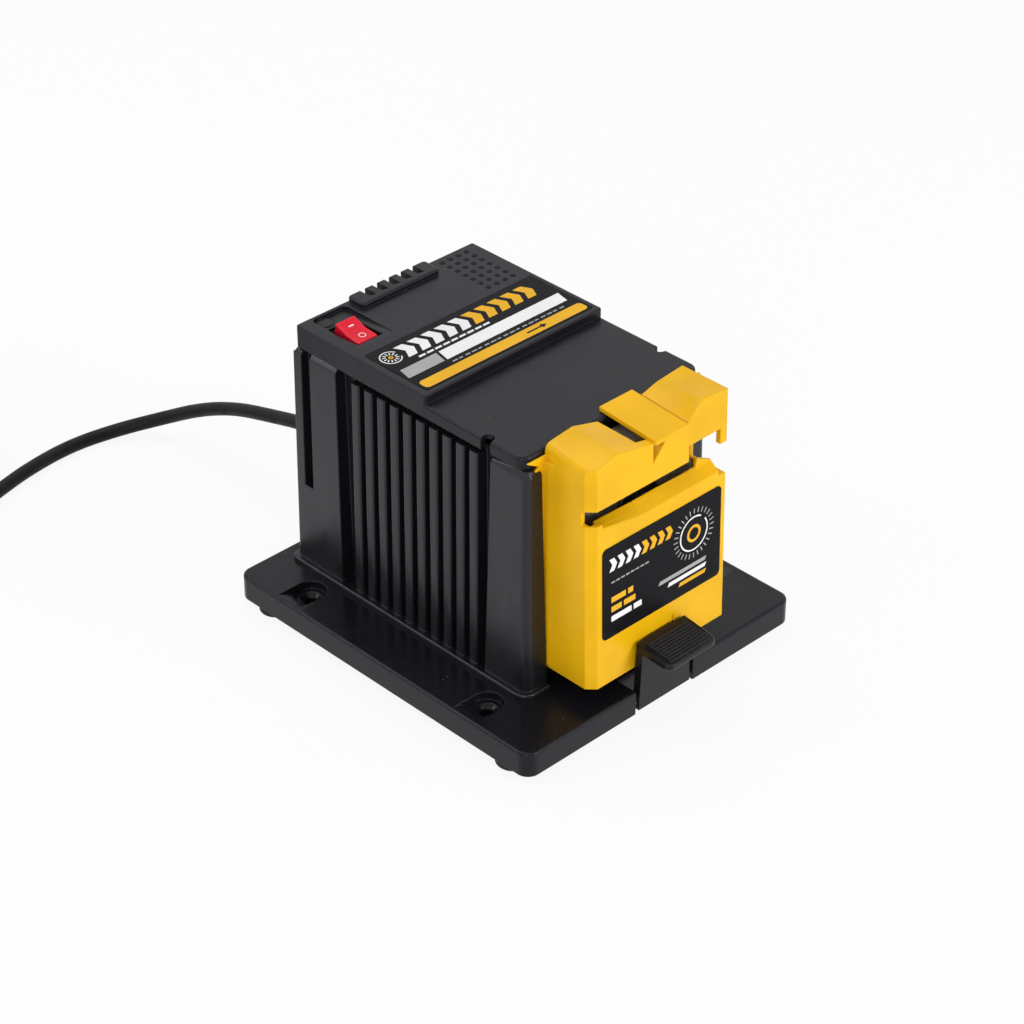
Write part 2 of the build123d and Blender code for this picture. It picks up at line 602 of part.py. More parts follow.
def head_outside():
    """Solid outer form: leaning front, cut corner, and the twisted guide faces on top."""
    top = COVER_HIGH_TOP + 10
    front_face = head_face(1, GUIDE_FRONT + lean(top - GUIDE_BOTTOM) + 0.3)
    crown = loft([head_face(0, GUIDE_BACK), front_face], ruled=True)
    crown += extrude(front_face, amount=6.0, dir=(0, -1, 0))
    trunk = profile_yz(
        [(GUIDE_BACK, GUIDE_BOTTOM), (GUIDE_FRONT, GUIDE_BOTTOM),
         (GUIDE_FRONT + lean(top - GUIDE_BOTTOM), top), (GUIDE_BACK, top)],
        -GUIDE_HALF_W, GUIDE_HALF_W,
    )
    c = GUIDE_CHAMFER
    corner = [
        (-GUIDE_HALF_W - 1, GUIDE_FRONT - 1), (-GUIDE_HALF_W + c + 1, GUIDE_FRONT - 1),
        (-GUIDE_HALF_W + c, GUIDE_FRONT), (-GUIDE_HALF_W, GUIDE_FRONT + c),
        (-GUIDE_HALF_W - 1, GUIDE_FRONT + c + 1),
    ]
    low = make_face(Polyline(*[(x, y, GUIDE_BOTTOM - 1) for x, y in corner], close=True))
    trunk -= extrude(low, amount=top, dir=(0, sin(radians(GUIDE_LEAN)), cos(radians(GUIDE_LEAN))))
    return trunk & crown


def head_hollow():
    """Room for the wheel, open to the rear and below so that the head lifts off."""
    radius = WHEEL_R + WHEEL_ROOM
    rear = GUIDE_BACK + 1
    front = WHEEL_FRONT - 2.0
    cut = rod_y(radius, front, rear)
    cut += block(-radius, radius, front, rear, GUIDE_BOTTOM - 1, SHAFT_Z)
    inside = GUIDE_HALF_W - GUIDE_WALL
    ledge_floor = LEDGE_Z - LEDGE_T
    low_front = GUIDE_FRONT + lean(ledge_floor - GUIDE_BOTTOM) + GUIDE_WALL - 0.3
    cut += block(-inside, inside, low_front, rear, GUIDE_BOTTOM - 1, ledge_floor)
    roof = COVER_LOW_TOP - GUIDE_WALL - 0.6
    high_front = GUIDE_FRONT + lean(roof - GUIDE_BOTTOM) + GUIDE_WALL
    cut += block(-inside, KNIFE_X0 - GUIDE_WALL, high_front, rear, ledge_floor, roof)
    cut += block(KNIFE_X1 + GUIDE_WALL, inside, high_front, rear, SLOT_TOP_Z - 1, roof)
    return cut


def front_slot():
    """Scissors slot across the front, with its sloped ledge, and the side window."""
    low_y = GUIDE_FRONT + lean(LEDGE_Z - GUIDE_BOTTOM)
    slope = (LEDGE_TOP_Z - LEDGE_Z) / (LEDGE_BACK - low_y)
    left_slope = (LEDGE_TOP_Z + 0.6 - LEDGE_LEFT_Z) / (LEDGE_BACK - low_y)
    out_y = GUIDE_FRONT - 4

    def section(x, z_lip, z_back, rise):
        z_out = z_lip - rise * (low_y - out_y)
        points = [(out_y, z_out), (LEDGE_BACK, z_back), (LEDGE_BACK, SLOT_TOP_Z), (out_y, SLOT_TOP_Z)]
        return make_face(Polyline(*[(x, y, z) for y, z in points], close=True))

    main = section(LEDGE_KINK_X, LEDGE_Z, LEDGE_TOP_Z, slope)
    left = section(LEDGE_LEFT_X, LEDGE_LEFT_Z, LEDGE_TOP_Z + 0.6, left_slope)
    cut = extrude(main, amount=GUIDE_HALF_W + 2 - LEDGE_KINK_X, dir=(1, 0, 0))
    cut += loft([left, main], ruled=True)
    cut += block(-GUIDE_HALF_W - 1, LEDGE_LEFT_X, out_y, LEDGE_BACK, SLOT_TOP_Z - 7.4, SLOT_TOP_Z)
    inside = GUIDE_HALF_W - GUIDE_WALL
    cut += block(-inside, inside, LEDGE_BACK - 0.01, GUIDE_BACK + 1, LEDGE_Z - LEDGE_T, SLOT_TOP_Z)
    # upright fin at the right end of the ledge
    fin = [
        (FIN_X, LEDGE_Z), (FIN_X + 0.4, FIN_TOP_Z), (WINDOW_X1, LEDGE_TOP_Z - 0.6),
        (WINDOW_X1, LEDGE_Z),
    ]
    cut -= profile_xz(fin, LEDGE_BACK - 1.0, LEDGE_BACK + 0.5)
    # window at the right end, and the open side behind its hook
    lip_y = LEDGE_BACK - 1
    hook_y = low_y + 4.0
    cut += block(WINDOW_X0, WINDOW_X1, out_y, lip_y, SLOT_TOP_Z - 1, WINDOW_TOP_Z)
    cut += block(WINDOW_X1 - 0.5, GUIDE_HALF_W + 1, out_y, hook_y, SIDE_TOP_Z, SLOT_TOP_Z)
    cut += block(WINDOW_X1 - 0.5, GUIDE_HALF_W + 1, hook_y, SIDE_BACK, SIDE_TOP_Z, WINDOW_TOP_Z)
    return cut


def knife_slot():
    top = COVER_HIGH_TOP + 10
    cut = block(KNIFE_X0, KNIFE_X1, KNIFE_FRONT, GUIDE_BACK + 1, LEDGE_Z - LEDGE_T, top)
    roof = COVER_LOW_TOP - 1.3
    vee = [(FLAP_X0, VEE_Z), (KNIFE_X1, roof - 0.4), (KNIFE_X1, roof), (FLAP_X0, roof)]
    return cut + profile_xz(vee, GUIDE_FRONT - 2, KNIFE_FRONT + 0.5)


def head_flap():
    """Thin plate over the knife slot; its rear end overhangs the housing cover."""
    rear_z, front_z = COVER_LOW_TOP + FLAP_RISE[0] + 0.5, COVER_LOW_TOP + FLAP_RISE[1]
    points = [
        (FLAP_REAR, rear_z - FLAP_T + 0.2), (FLAP_REAR, rear_z), (FLAP_FRONT, front_z),
        (FLAP_FRONT, front_z - FLAP_T),
    ]
    return profile_yz(points, FLAP_X0, VALLEY_X)


def head_flange():
    """Left flange that slides in the pillar rail, with its pointed stop at the top."""
    y0, y1 = GUIDE_BACK - FLANGE_T, GUIDE_BACK
    inner = -GUIDE_HALF_W + GUIDE_WALL
    stop_z = HOUSING_TOP + 4.4
    plate = profile_xz(
        [(inner, FLANGE_FOOT_Z), (-FLANGE_HALF_W, FLANGE_FOOT_Z), (-FLANGE_HALF_W, HOUSING_TOP - 1),
         (-46.8, HOUSING_TOP + 0.4), (-53.8, stop_z), (inner, stop_z)],
        y0, y1,
    )
    shoulder = profile_xy(
        [(inner, y0 - 7.0), (-GUIDE_HALF_W, y0 - 7.0), (-BAY_HALF_W + RUN_FIT, y0 - 3.2),
         (-BAY_HALF_W + RUN_FIT, y1), (inner, y1)],
        FLANGE_FOOT_Z, HOUSING_TOP + 2,
    )
    return plate + shoulder


def guide_head():
    head = head_outside() - head_hollow()
    head -= knife_slot()
    head += head_flap()
    head -= front_slot()
    flange = head_flange() - rod_y(WHEEL_R + WHEEL_ROOM, WHEEL_FRONT, GUIDE_BACK + 1)
    head += flange
    head += mirror(flange, Plane.YZ)
    # opening for the nose of the catch, and the small moulding mark beside it
    head -= block(-9.0, 9.0, GUIDE_FRONT - 1, GUIDE_FRONT + 1.6, CATCH_Z0, CATCH_Z1)
    head -= block(9.3, 10.3, GUIDE_FRONT - 1, GUIDE_FRONT + 1.2, CATCH_Z1 + 0.2, CATCH_Z1 + 3.2)
    return head


def guide_label():
    """Label plate on the front face, following its lean."""
    x0, x1 = -GUIDE_HALF_W + 6.8, GUIDE_HALF_W - 3.0
    z0, z1 = GUIDE_LABEL_Z0, LEDGE_Z - 7.3
    plate = extrude(RectangleRounded(x1 - x0, z1 - z0, 2.6), amount=LABEL_T)
    middle = (z0 + z1) / 2
    y = GUIDE_FRONT + lean(middle - GUIDE_BOTTOM)
    return Pos((x0 + x1) / 2, y, middle) * Rot(90 - GUIDE_LEAN, 0, 0) * plate


# ------------------------------------------------------------------ catch lever
STEM_T = 3.9
STEM_TOP = 37.4
PAD_HALF_W = 15.6
PAD_REAR_Y = BASE_FRONT + 3.3
PAD_REAR_Z = 39.4
PAD_FRONT_Z = 37.0
PAD_T = 3.4
PAD_RIBS = 9
PAD_RIB_PITCH = 1.72


def catch_lever():
    """Stem flush with the base front, a ribbed thumb pad and a hinge barrel."""
    front = BASE_FRONT
    stem = profile_xz(
        [(-16.5, BASE_BOTTOM + 1.2), (16.5, BASE_BOTTOM + 1.2), (14.9, STEM_TOP), (-14.9, STEM_TOP)],
        front, front + STEM_T,
    )
    stem += rod_x(PIN_R + 2.0, -16.3, 16.3, PIVOT_Y, PIVOT_Z)
    stem -= rod_x(PIN_R + SPIN_FIT, -20, 20, PIVOT_Y, PIVOT_Z)
    out = front - PAD_REACH
    pad = profile_yz(
        [(PAD_REAR_Y, PAD_REAR_Z), (PAD_REAR_Y, PAD_REAR_Z - PAD_T - 1.6),
         (front, PAD_REAR_Z - PAD_T - 1.6), (out, PAD_FRONT_Z - PAD_T), (out, PAD_FRONT_Z)],
        -PAD_HALF_W, PAD_HALF_W,
    )
    pad = fillet(pad.edges().filter_by(Axis.Z).sort_by(Axis.Y)[:2], 3.6)
    pad = fillet(pad.edges().filter_by(Axis.X).sort_by(Axis.Y)[:2], 0.9)
    slope = (PAD_REAR_Z - PAD_FRONT_Z) / (PAD_REAR_Y - out)
    for i in range(PAD_RIBS):
        y = out + 2.4 + i * PAD_RIB_PITCH
        z = PAD_FRONT_Z + (y - out) * slope
        pad += rod_x(0.62, -PAD_HALF_W + 2.6, PAD_HALF_W - 2.6, y, z)
    nose = profile_yz(
        [(front + STEM_T - 1, CATCH_Z0 + 0.8), (GUIDE_FRONT - RUN_FIT, CATCH_Z0 + 2.2),
         (GUIDE_FRONT - RUN_FIT, CATCH_Z1 - 1.4), (front + STEM_T - 1, CATCH_Z1 - 0.4)],
        -8.0, 8.0,
    )
    return stem + pad + nose


def catch_pin():
    reach = LATCH_BAY_HALF_W + BASE_WALL + 0.4
    return rod_x(PIN_R, -reach, reach, PIVOT_Y, PIVOT_Z)


def catch_spring():
    """Torsion spring beside the hinge barrel: coils round the pin and two legs."""
    wire = 0.45
    x0 = -LATCH_BAY_HALF_W + 0.15
    spring = Part()
    for i in range(2):
        x = x0 + wire + i * (2 * wire + 0.02)
        spring += Pos(x, PIVOT_Y, PIVOT_Z) * Rot(0, 90, 0) * Torus(PIN_R + 0.35 + wire, wire)
    radius = PIN_R + 0.35 + wire
    bay_back = BASE_FRONT + LATCH_BAY_DEPTH
    spring += rod_y(wire, PIVOT_Y, bay_back - 1.0, x0 + wire, PIVOT_Z - radius)
    return spring


# ---------------------------------------------------------------------- spindle
BEARING_R = 11.0
BEARING_W = 7.0
FRONT_BEARING_Y = INNER_FRONT + 4.0
FAN_Y = INNER_FRONT + 12.0
CORE_FRONT = INNER_FRONT + 35.0
CORE_LEN = 38.0
COMMUTATOR_Y = CORE_FRONT + CORE_LEN + 9.5
COMMUTATOR_LEN = 11.0
REAR_BEARING_Y = COMMUTATOR_Y + COMMUTATOR_LEN + 4.0
ROTOR_R = 19.0
STATOR_HALF = 33.0
STATOR_BORE_R = 19.6
FAN_R = 31.0
FAN_BLADES = 9
COMMUTATOR_R = 11.0
NUT_FRONT = GUIDE_FRONT + 8.8


def grinding_wheel():
    wheel = rod_y(WHEEL_R, WHEEL_FRONT, WHEEL_BACK) - rod_y(SHAFT_R, WHEEL_FRONT - 1, WHEEL_BACK + 1)
    return chamfer(wheel.edges().filter_by(GeomType.CIRCLE).sort_by(SortBy.RADIUS)[-2:], 0.6)


def wheel_flanges():
    rear = rod_y(13.0, WHEEL_BACK, WHEEL_BACK + 2.5) - rod_y(SHAFT_R, WHEEL_BACK - 1, WHEEL_BACK + 4)
    front = rod_y(13.0, WHEEL_FRONT - 2.0, WHEEL_FRONT)
    front -= rod_y(SHAFT_R, WHEEL_FRONT - 3, WHEEL_FRONT + 1)
    return rear + front


def wheel_nut():
    hexagon = Pos(0, WHEEL_FRONT - 2.0, SHAFT_Z) * Rot(90, 0, 0) * RegularPolygon(7.5, 6)
    nut = extrude(hexagon, amount=4.0)
    return nut - rod_y(SHAFT_R, NUT_FRONT, WHEEL_FRONT)


def motor_shaft():
    shaft = rod_y(SHAFT_R, NUT_FRONT, REAR_BEARING_Y + BEARING_W + 2.0)
    return chamfer(shaft.edges().filter_by(GeomType.CIRCLE), 0.5)


def rotor_core():
    core = rod_y(ROTOR_R, CORE_FRONT, CORE_FRONT + CORE_LEN)
    core -= rod_y(SHAFT_R, CORE_FRONT - 1, CORE_FRONT + CORE_LEN + 1)
    slots = 12
    for i in range(slots):
        slot = block(-1.1, 1.1, CORE_FRONT - 1, CORE_FRONT + CORE_LEN + 1, 12.5, ROTOR_R + 1)
        core -= Pos(0, 0, SHAFT_Z) * Rot(0, i * 360 / slots, 0) * slot
    return core


def rotor_windings():
    front, rear = CORE_FRONT, CORE_FRONT + CORE_LEN
    coils = rod_y(16.5, front - 7.5, front) + rod_y(16.5, rear, rear + 7.0)
    ends = coils.edges().filter_by(GeomType.CIRCLE)
    coils = fillet([e for e in ends if abs(e.center().Y - front) > 1 and abs(e.center().Y - rear) > 1], 3.0)
    return coils - rod_y(SHAFT_R, front - 9, rear + 9)


def commutator():
    drum = rod_y(COMMUTATOR_R, COMMUTATOR_Y, COMMUTATOR_Y + COMMUTATOR_LEN)
    bars = 12
    for i in range(bars):
        gap = block(-0.3, 0.3, COMMUTATOR_Y + 2, COMMUTATOR_Y + COMMUTATOR_LEN + 1,
                    COMMUTATOR_R - 0.8, COMMUTATOR_R + 1)
        drum -= Pos(0, 0, SHAFT_Z) * Rot(0, i * 360 / bars, 0) * gap
    return drum - rod_y(SHAFT_R, COMMUTATOR_Y - 1, COMMUTATOR_Y + COMMUTATOR_LEN + 1)


def cooling_fan():
    hub = rod_y(9.0, FAN_Y, FAN_Y + 10) + rod_y(FAN_R, FAN_Y + 8.4, FAN_Y + 10)
    for i in range(FAN_BLADES):
        blade = block(-0.8, 0.8, FAN_Y, FAN_Y + 9, 8.0, FAN_R)
        hub += Pos(0, 0, SHAFT_Z) * Rot(0, i * 360 / FAN_BLADES, 0) * (Rot(0, 12, 0) * blade)
    return hub - rod_y(SHAFT_R, FAN_Y - 1, FAN_Y + 11)


# ------------------------------------------------------------------------ motor
BRACKET_HALF_W = 30.0
BRACKET_T = 4.0
BRACKET_TOP = SHAFT_Z + 24.0
BRACKET_FOOT = 12.0
BOLT_OFF = 28.0
BOLT_R = 2.0
FRONT_PLATE_Y = FRONT_BEARING_Y - 2.5
REAR_PLATE_Y = REAR_BEARING_Y + 3.0


def stator_core():
    y1 = CORE_FRONT + CORE_LEN
    core = Pos(0, (CORE_FRONT + y1) / 2, SHAFT_Z) * Box(2 * STATOR_HALF, CORE_LEN, 2 * STATOR_HALF)
    core = fillet(core.edges().filter_by(Axis.Y), 9.0)
    core -= rod_y(STATOR_BORE_R, CORE_FRONT - 1, y1 + 1)
    for side in (-1, 1):
        window = block(-24.0, 24.0, CORE_FRONT - 1, y1 + 1, SHAFT_Z + 14.0, SHAFT_Z + 24.0)
        window -= block(-11.5, 11.5, CORE_FRONT - 2, y1 + 2, SHAFT_Z + 10.0, SHAFT_Z + 30.0)
        core -= window if side > 0 else Pos(0, 0, 2 * SHAFT_Z) * mirror(window, Plane.XY)
    for x, z in motor_bolt_spots():
        core -= rod_y(BOLT_R + SEAT_FIT, CORE_FRONT - 1, y1 + 1, x, z)
    return core


def motor_bolt_spots():
    return [(sx * BOLT_OFF, SHAFT_Z + sz * BOLT_OFF) for sx in (-1, 1) for sz in (-1, 1)]


def field_coils():
    """One coil round each stator pole, bulging out at both ends of the core."""
    y0, y1 = CORE_FRONT - 8.0, CORE_FRONT + CORE_LEN + 8.0
    fit = SEAT_FIT
    ring = block(-23.6, 23.6, y0, y1, SHAFT_Z + 14.4, SHAFT_Z + 23.6)
    ring = fillet(ring.edges().filter_by(Axis.Z), 4.0)
    ring -= block(
        -11.5 - fit, 11.5 + fit, CORE_FRONT - fit, CORE_FRONT + CORE_LEN + fit,
        SHAFT_Z + 10, SHAFT_Z + 30,
    )
    ring -= rod_y(STATOR_BORE_R, y0 - 1, y1 + 1)
    return ring + Pos(0, 0, 2 * SHAFT_Z) * mirror(ring, Plane.XY)


def bearing(y):
    """A sealed ball bearing: outer ring, shield and inner ring as one unit."""
    ring = rod_y(BEARING_R, y, y + BEARING_W)
    ring -= rod_y(SHAFT_R + SPIN_FIT, y - 1, y + BEARING_W + 1)
    for face in (y - 0.01, y + BEARING_W - 0.59):
        ring -= rod_y(9.2, face, face + 0.6) - rod_y(6.2, face - 1, face + 2)
    return ring


def bearing_bracket(plate_y, bearing_y):
    """Upright plate with a bearing seat, bolt holes and a screwed foot."""
    y0, y1 = plate_y, plate_y + BRACKET_T
    plate = profile_xz(
        [(-BRACKET_HALF_W, BASE_TOP), (BRACKET_HALF_W, BASE_TOP), (BRACKET_HALF_W, SHAFT_Z + 33),
         (-BRACKET_HALF_W, SHAFT_Z + 33)], y0, y1,
    )
    plate = fillet(plate.edges().filter_by(Axis.Y).sort_by(Axis.Z)[-2:], 5.0)
    plate += block(
        -BRACKET_HALF_W, BRACKET_HALF_W, y1, y1 + BRACKET_FOOT, BASE_TOP, BASE_TOP + 3
    )
    plate += rod_y(BEARING_R + 3, bearing_y - 1, bearing_y + BEARING_W)
    plate -= rod_y(BEARING_R, bearing_y, bearing_y + BEARING_W + 1)
    plate -= rod_y(SHAFT_R + 2.5, bearing_y - 5, bearing_y + BEARING_W + 5)
    for x, z in motor_bolt_spots():
        plate -= rod_y(BOLT_R + SEAT_FIT, y0 - 1, y1 + 1, x, z)
    plate -= block(-18, 18, y0 - 1, y1 + 1, BASE_TOP + 18, SHAFT_Z - 32)
    screw_y = FRONT_BRACKET_SCREW_Y if plate_y < 0 else REAR_BRACKET_SCREW_Y
    for sx in (-1, 1):
        x = sx * BRACKET_SCREW_X
        plate -= rod_z(BASE_SCREW_R + SEAT_FIT, BASE_TOP - 1, BASE_TOP + 9, x, screw_y)
    return plate


def motor_bolts():
    """Long bolts through the brackets and the core, with their heads and nuts."""
    bolts = Part()
    for x, z in motor_bolt_spots():
        y0, y1 = FRONT_PLATE_Y, REAR_PLATE_Y + BRACKET_T
        bolts += rod_y(BOLT_R, y0, y1 + 4, x, z)
        bolts += rod_y(3.6, y0 - 1.2, y0, x, z)
        bolts += rod_y(3.4, y1, y1 + 3, x, z)
    return bolts


BRUSH_Y = COMMUTATOR_Y + 6.0


def brush_holders():
    """Square tubes on both sides of the commutator, with a web to the rear bracket."""
    holder = block(14.0, 30.0, BRUSH_Y - 4.2, BRUSH_Y + 4.2, SHAFT_Z - 4.2, SHAFT_Z + 4.2)
    holder -= block(13.0, 28.5, BRUSH_Y - 2.9, BRUSH_Y + 2.9, SHAFT_Z - 2.9, SHAFT_Z + 2.9)
    holder += block(16.0, 28.0, BRUSH_Y + 4.2, REAR_PLATE_Y, SHAFT_Z - 3.0, SHAFT_Z + 3.0)
    return holder + mirror(holder, Plane.YZ)


def carbon_brushes():
    brush = block(10.0, 21.0, BRUSH_Y - 2.7, BRUSH_Y + 2.7, SHAFT_Z - 2.7, SHAFT_Z + 2.7)
    brush -= rod_y(COMMUTATOR_R + 0.05, BRUSH_Y - 5, BRUSH_Y + 5)
    return brush + mirror(brush, Plane.YZ)


def brush_springs():
    """Coil springs behind the brushes, as closely stacked rings."""
    spring = Part()
    turns = 6
    for i in range(turns):
        x = 21.0 + 0.55 + i * 1.25
        spring += Pos(x, BRUSH_Y, SHAFT_Z) * Rot(0, 90, 0) * Torus(1.9, 0.5)
    spine = block(21.0, 28.5, BRUSH_Y - 2.1, BRUSH_Y - 1.7, SHAFT_Z - 0.25, SHAFT_Z + 0.25)
    return both_sides(spring + spine)


# -------------------------------------------------------------------- fasteners
def pan_screw(x, y, seat_z, length, radius, up):
    """A pan-head screw; up is 1 when it points up and -1 when it points down."""
    head_h = 2.2
    shank = rod_z(radius, seat_z, seat_z + up * length, x, y)
    head = rod_z(radius * 1.9, seat_z - up * head_h, seat_z, x, y)
    head -= block(x - radius * 1.4, x + radius * 1.4, y - 0.4, y + 0.4,
                  seat_z - up * head_h, seat_z - up * (head_h - 0.9))
    return shank + head


def base_screws():
    group = Part()
    for x, y in base_screw_spots():
        group += pan_screw(x, y, BASE_BOTTOM + 3, 22.0, BASE_SCREW_R - 0.3, 1)
    return group


def bracket_screws():
    group = Part()
    for x, y in bracket_screw_spots():
        group += pan_screw(x, y, BASE_TOP + 3, 12.0, BASE_SCREW_R - 0.3, -1)
    return group


def cover_screws():
    group = Part()
    for x, y in cover_screw_spots():
        group += pan_screw(x, y, HOUSING_TOP - LUG_TOP_H, 11.5, COVER_SCREW_R - 0.3, 1)
    return group


# ------------------------------------------------------------------------- cord
BOOT_NECK_R = 6.0
BOOT_COLLAR_R = 8.5
COIL_X = -150.0
COIL_Y = 292.0
COIL_MID_R = 40.0
COIL_TURNS_WIDE = 3
COIL_LAYERS = 2
COIL_TOP = COIL_LAYERS * 2 * CORD_R
COIL_OUT_R = COIL_MID_R + COIL_TURNS_WIDE * CORD_R
COIL_IN_R = COIL_MID_R - COIL_TURNS_WIDE * CORD_R
CORD_LIE_Z = CORD_R + 0.1
CORD_ROUTE = [
    (-10.0, 118.0, 48.5), (-10.0, 133.0, 48.5), (-10.0, 160.0, 41.0), (-10.5, 187.0, 33.6),
    (-13.0, 213.0, 22.6), (-20.0, 236.0, 10.0), (-38.0, 252.0, CORD_LIE_Z),
    (-64.0, 256.5, CORD_LIE_Z), (-92.0, 254.0, CORD_LIE_Z), (-118.0, 247.5, CORD_LIE_Z),
    (-133.0, 243.2, CORD_LIE_Z),
]


def strain_relief():
    """Tapered boot with a collar against the rear wall and a neck through it."""
    y_wall = HOUSING_REAR
    neck = rod_y(BOOT_NECK_R, INNER_REAR - 1.5, y_wall, CORD_EXIT_X, CORD_EXIT_Z)
    neck += rod_y(BOOT_NECK_R + 1.6, INNER_REAR - 3.0, INNER_REAR, CORD_EXIT_X, CORD_EXIT_Z)
    collar = rod_y(BOOT_COLLAR_R, y_wall, y_wall + 2.2, CORD_EXIT_X, CORD_EXIT_Z)
    length = BOOT_END_Y - y_wall - 2.2
    cone = Pos(CORD_EXIT_X, y_wall + 2.2 + length / 2, CORD_EXIT_Z)
    cone = cone * Rot(-90, 0, 0) * Cone(6.8, CORD_R + 1.1, length)
    boot = neck + collar + cone
    grooves = 5
    for i in range(grooves):
        y = y_wall + 7.0 + i * 4.6
        ring = rod_y(9.0, y, y + 1.4, CORD_EXIT_X, CORD_EXIT_Z)
        ring -= rod_y(4.4, y - 1, y + 3, CORD_EXIT_X, CORD_EXIT_Z)
        boot -= ring & block(CORD_EXIT_X - 4, CORD_EXIT_X + 4, y - 1, y + 3, 20, 80)
    return boot


def route_radii(points):
    """The largest fair radius at each corner of a route."""
    corners = []
    for before, corner, after in zip(points, points[1:], points[2:]):
        a, b = Vector(corner) - Vector(before), Vector(after) - Vector(corner)
        half_turn = radians(a.get_angle(b)) / 2
        corners.append(0.45 * min(a.length, b.length) / tan(half_turn))
    return corners


def cord_tube():
    radii = route_radii(CORD_ROUTE)
    print("cord radii", [round(r, 1) for r in radii])
    path = FilletPolyline(*CORD_ROUTE, radius=radii)
    start = Plane(origin=path @ 0, z_dir=path % 0)
    tube = sweep(start * Circle(CORD_R), path=path)
    share = tube.volume / (3.14159265 * CORD_R**2 * path.length)
    print("cord tube length", round(path.length, 1), "volume share", round(share, 4))
    return tube


def cord_coil():
    ring = rod_z(COIL_OUT_R, 0, COIL_TOP, COIL_X, COIL_Y)
    ring -= rod_z(COIL_IN_R, -1, COIL_TOP + 1, COIL_X, COIL_Y)
    return fillet(ring.edges(), CORD_R * 0.8)


def cord_tie():
    """Strap over the coil's section, on the side away from the plug."""
    angle = 225.0
    inner, outer = COIL_IN_R - 0.6, COIL_OUT_R + 0.2
    band = block(inner - 1.2, outer + 1.2, -5.0, 5.0, 0.0, COIL_TOP + 1.4)
    band -= block(inner, outer, -6.0, 6.0, -1.0, COIL_TOP + 0.1)
    return Pos(COIL_X, COIL_Y, 0) * Rot(0, 0, angle) * band


PLUG_X = COIL_X + 18.0
PLUG_Y = COIL_Y + 33.0
PLUG_TURN = 175.0


def place_plug(shape):
    return Pos(PLUG_X, PLUG_Y, COIL_TOP) * Rot(0, 0, PLUG_TURN) * shape


def plug_body():
    """Flat two-pin plug lying across the coil, drawn with its cord end to the right."""
    plan = [(-22.0, -17.0), (10.0, -17.0), (24.0, -7.5), (24.0, 7.5), (10.0, 17.0), (-22.0, 17.0)]
    body = profile_xy(plan, 0, 13.6)
    body = fillet(body.edges().filter_by(Axis.Z), 3.0)
    body = fillet(body.faces().sort_by(Axis.Z)[-1].edges(), 2.2)
    nose = Pos(28.0, 0, 6.8) * Rot(0, 90, 0) * Cone(5.6, 4.6, 10.0)
    return place_plug(body + nose)


def plug_pins():
    pins = Part()
    for y in (-9.0, 9.0):
        pins += Pos(-31.5, y, 6.8) * Rot(0, 90, 0) * Cylinder(2.0, 19.0)
    return place_plug(pins)


def cord_clamp():
    """Bar that holds the cord inside the rear wall, on its two pillars."""
    x, z = CORD_EXIT_X, CORD_EXIT_Z
    y0, y1 = INNER_REAR - 14.0, INNER_REAR - 6.0
    bar = block(x - 13, x + 13, y0, y1, z + CORD_R, z + CORD_R + 3.5)
    for sx in (-1, 1):
        bar += block(x + sx * 10 - 3, x + sx * 10 + 3, y0, y1, BASE_TOP, z + CORD_R)
    return bar


# --------------------------------------------------------------------- assembly
NODES = {
    "base_plate": base_plate,
    "rubber_feet": rubber_feet,
    "housing_body": housing_body,
    "top_cover": top_cover,
    "top_label": top_label,
    "switch_body": switch_body,
    "switch_rocker": switch_rocker,
    "guide_head": guide_head,
    "guide_label": guide_label,
    "catch_lever": catch_lever,
    "catch_pin": catch_pin,
    "catch_spring": catch_spring,
    "grinding_wheel": grinding_wheel,
    "wheel_flanges": wheel_flanges,
    "wheel_nut": wheel_nut,
    "motor_shaft": motor_shaft,
    "rotor_core": rotor_core,
    "rotor_windings": rotor_windings,
    "commutator": commutator,
    "cooling_fan": cooling_fan,
    "stator_core": stator_core,
    "field_coils": field_coils,
    "front_bearing": lambda: bearing(FRONT_BEARING_Y),
    "rear_bearing": lambda: bearing(REAR_BEARING_Y),
    "front_bracket": lambda: bearing_bracket(FRONT_PLATE_Y, FRONT_BEARING_Y),
    "rear_bracket": lambda: bearing_bracket(REAR_PLATE_Y, REAR_BEARING_Y),
    "motor_bolts": motor_bolts,
    "brush_holders": brush_holders,
    "carbon_brushes": carbon_brushes,
    "brush_springs": brush_springs,
    "base_screws": base_screws,
    "bracket_screws": bracket_screws,
    "cover_screws": cover_screws,
    "cord_clamp": cord_clamp,
    "strain_relief": strain_relief,
    "cord_tube": cord_tube,
    "cord_coil": cord_coil,
    "cord_tie": cord_tie,
    "plug_body": plug_body,
    "plug_pins": plug_pins,
}

os.makedirs("parts", exist_ok=True)
for node, make in NODES.items():
    export_step(Pos(0, ORIGIN_Y, 0) * make(), f"parts/{node}.step")
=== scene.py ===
"""Dresses the packed electric knife sharpener: finishes, prints, mains lead, light and camera.

Everything is in metres, in the frame of the packed model: +X right, +Y to the rear, +Z up.
Prints, marks and the scissors ledge are drawn in millimetres and scaled when they are done.
"""

import json
import math

import bmesh
import bpy
from bpy.props import FloatProperty, FloatVectorProperty, IntProperty, PointerProperty
from mathutils import Matrix, Vector


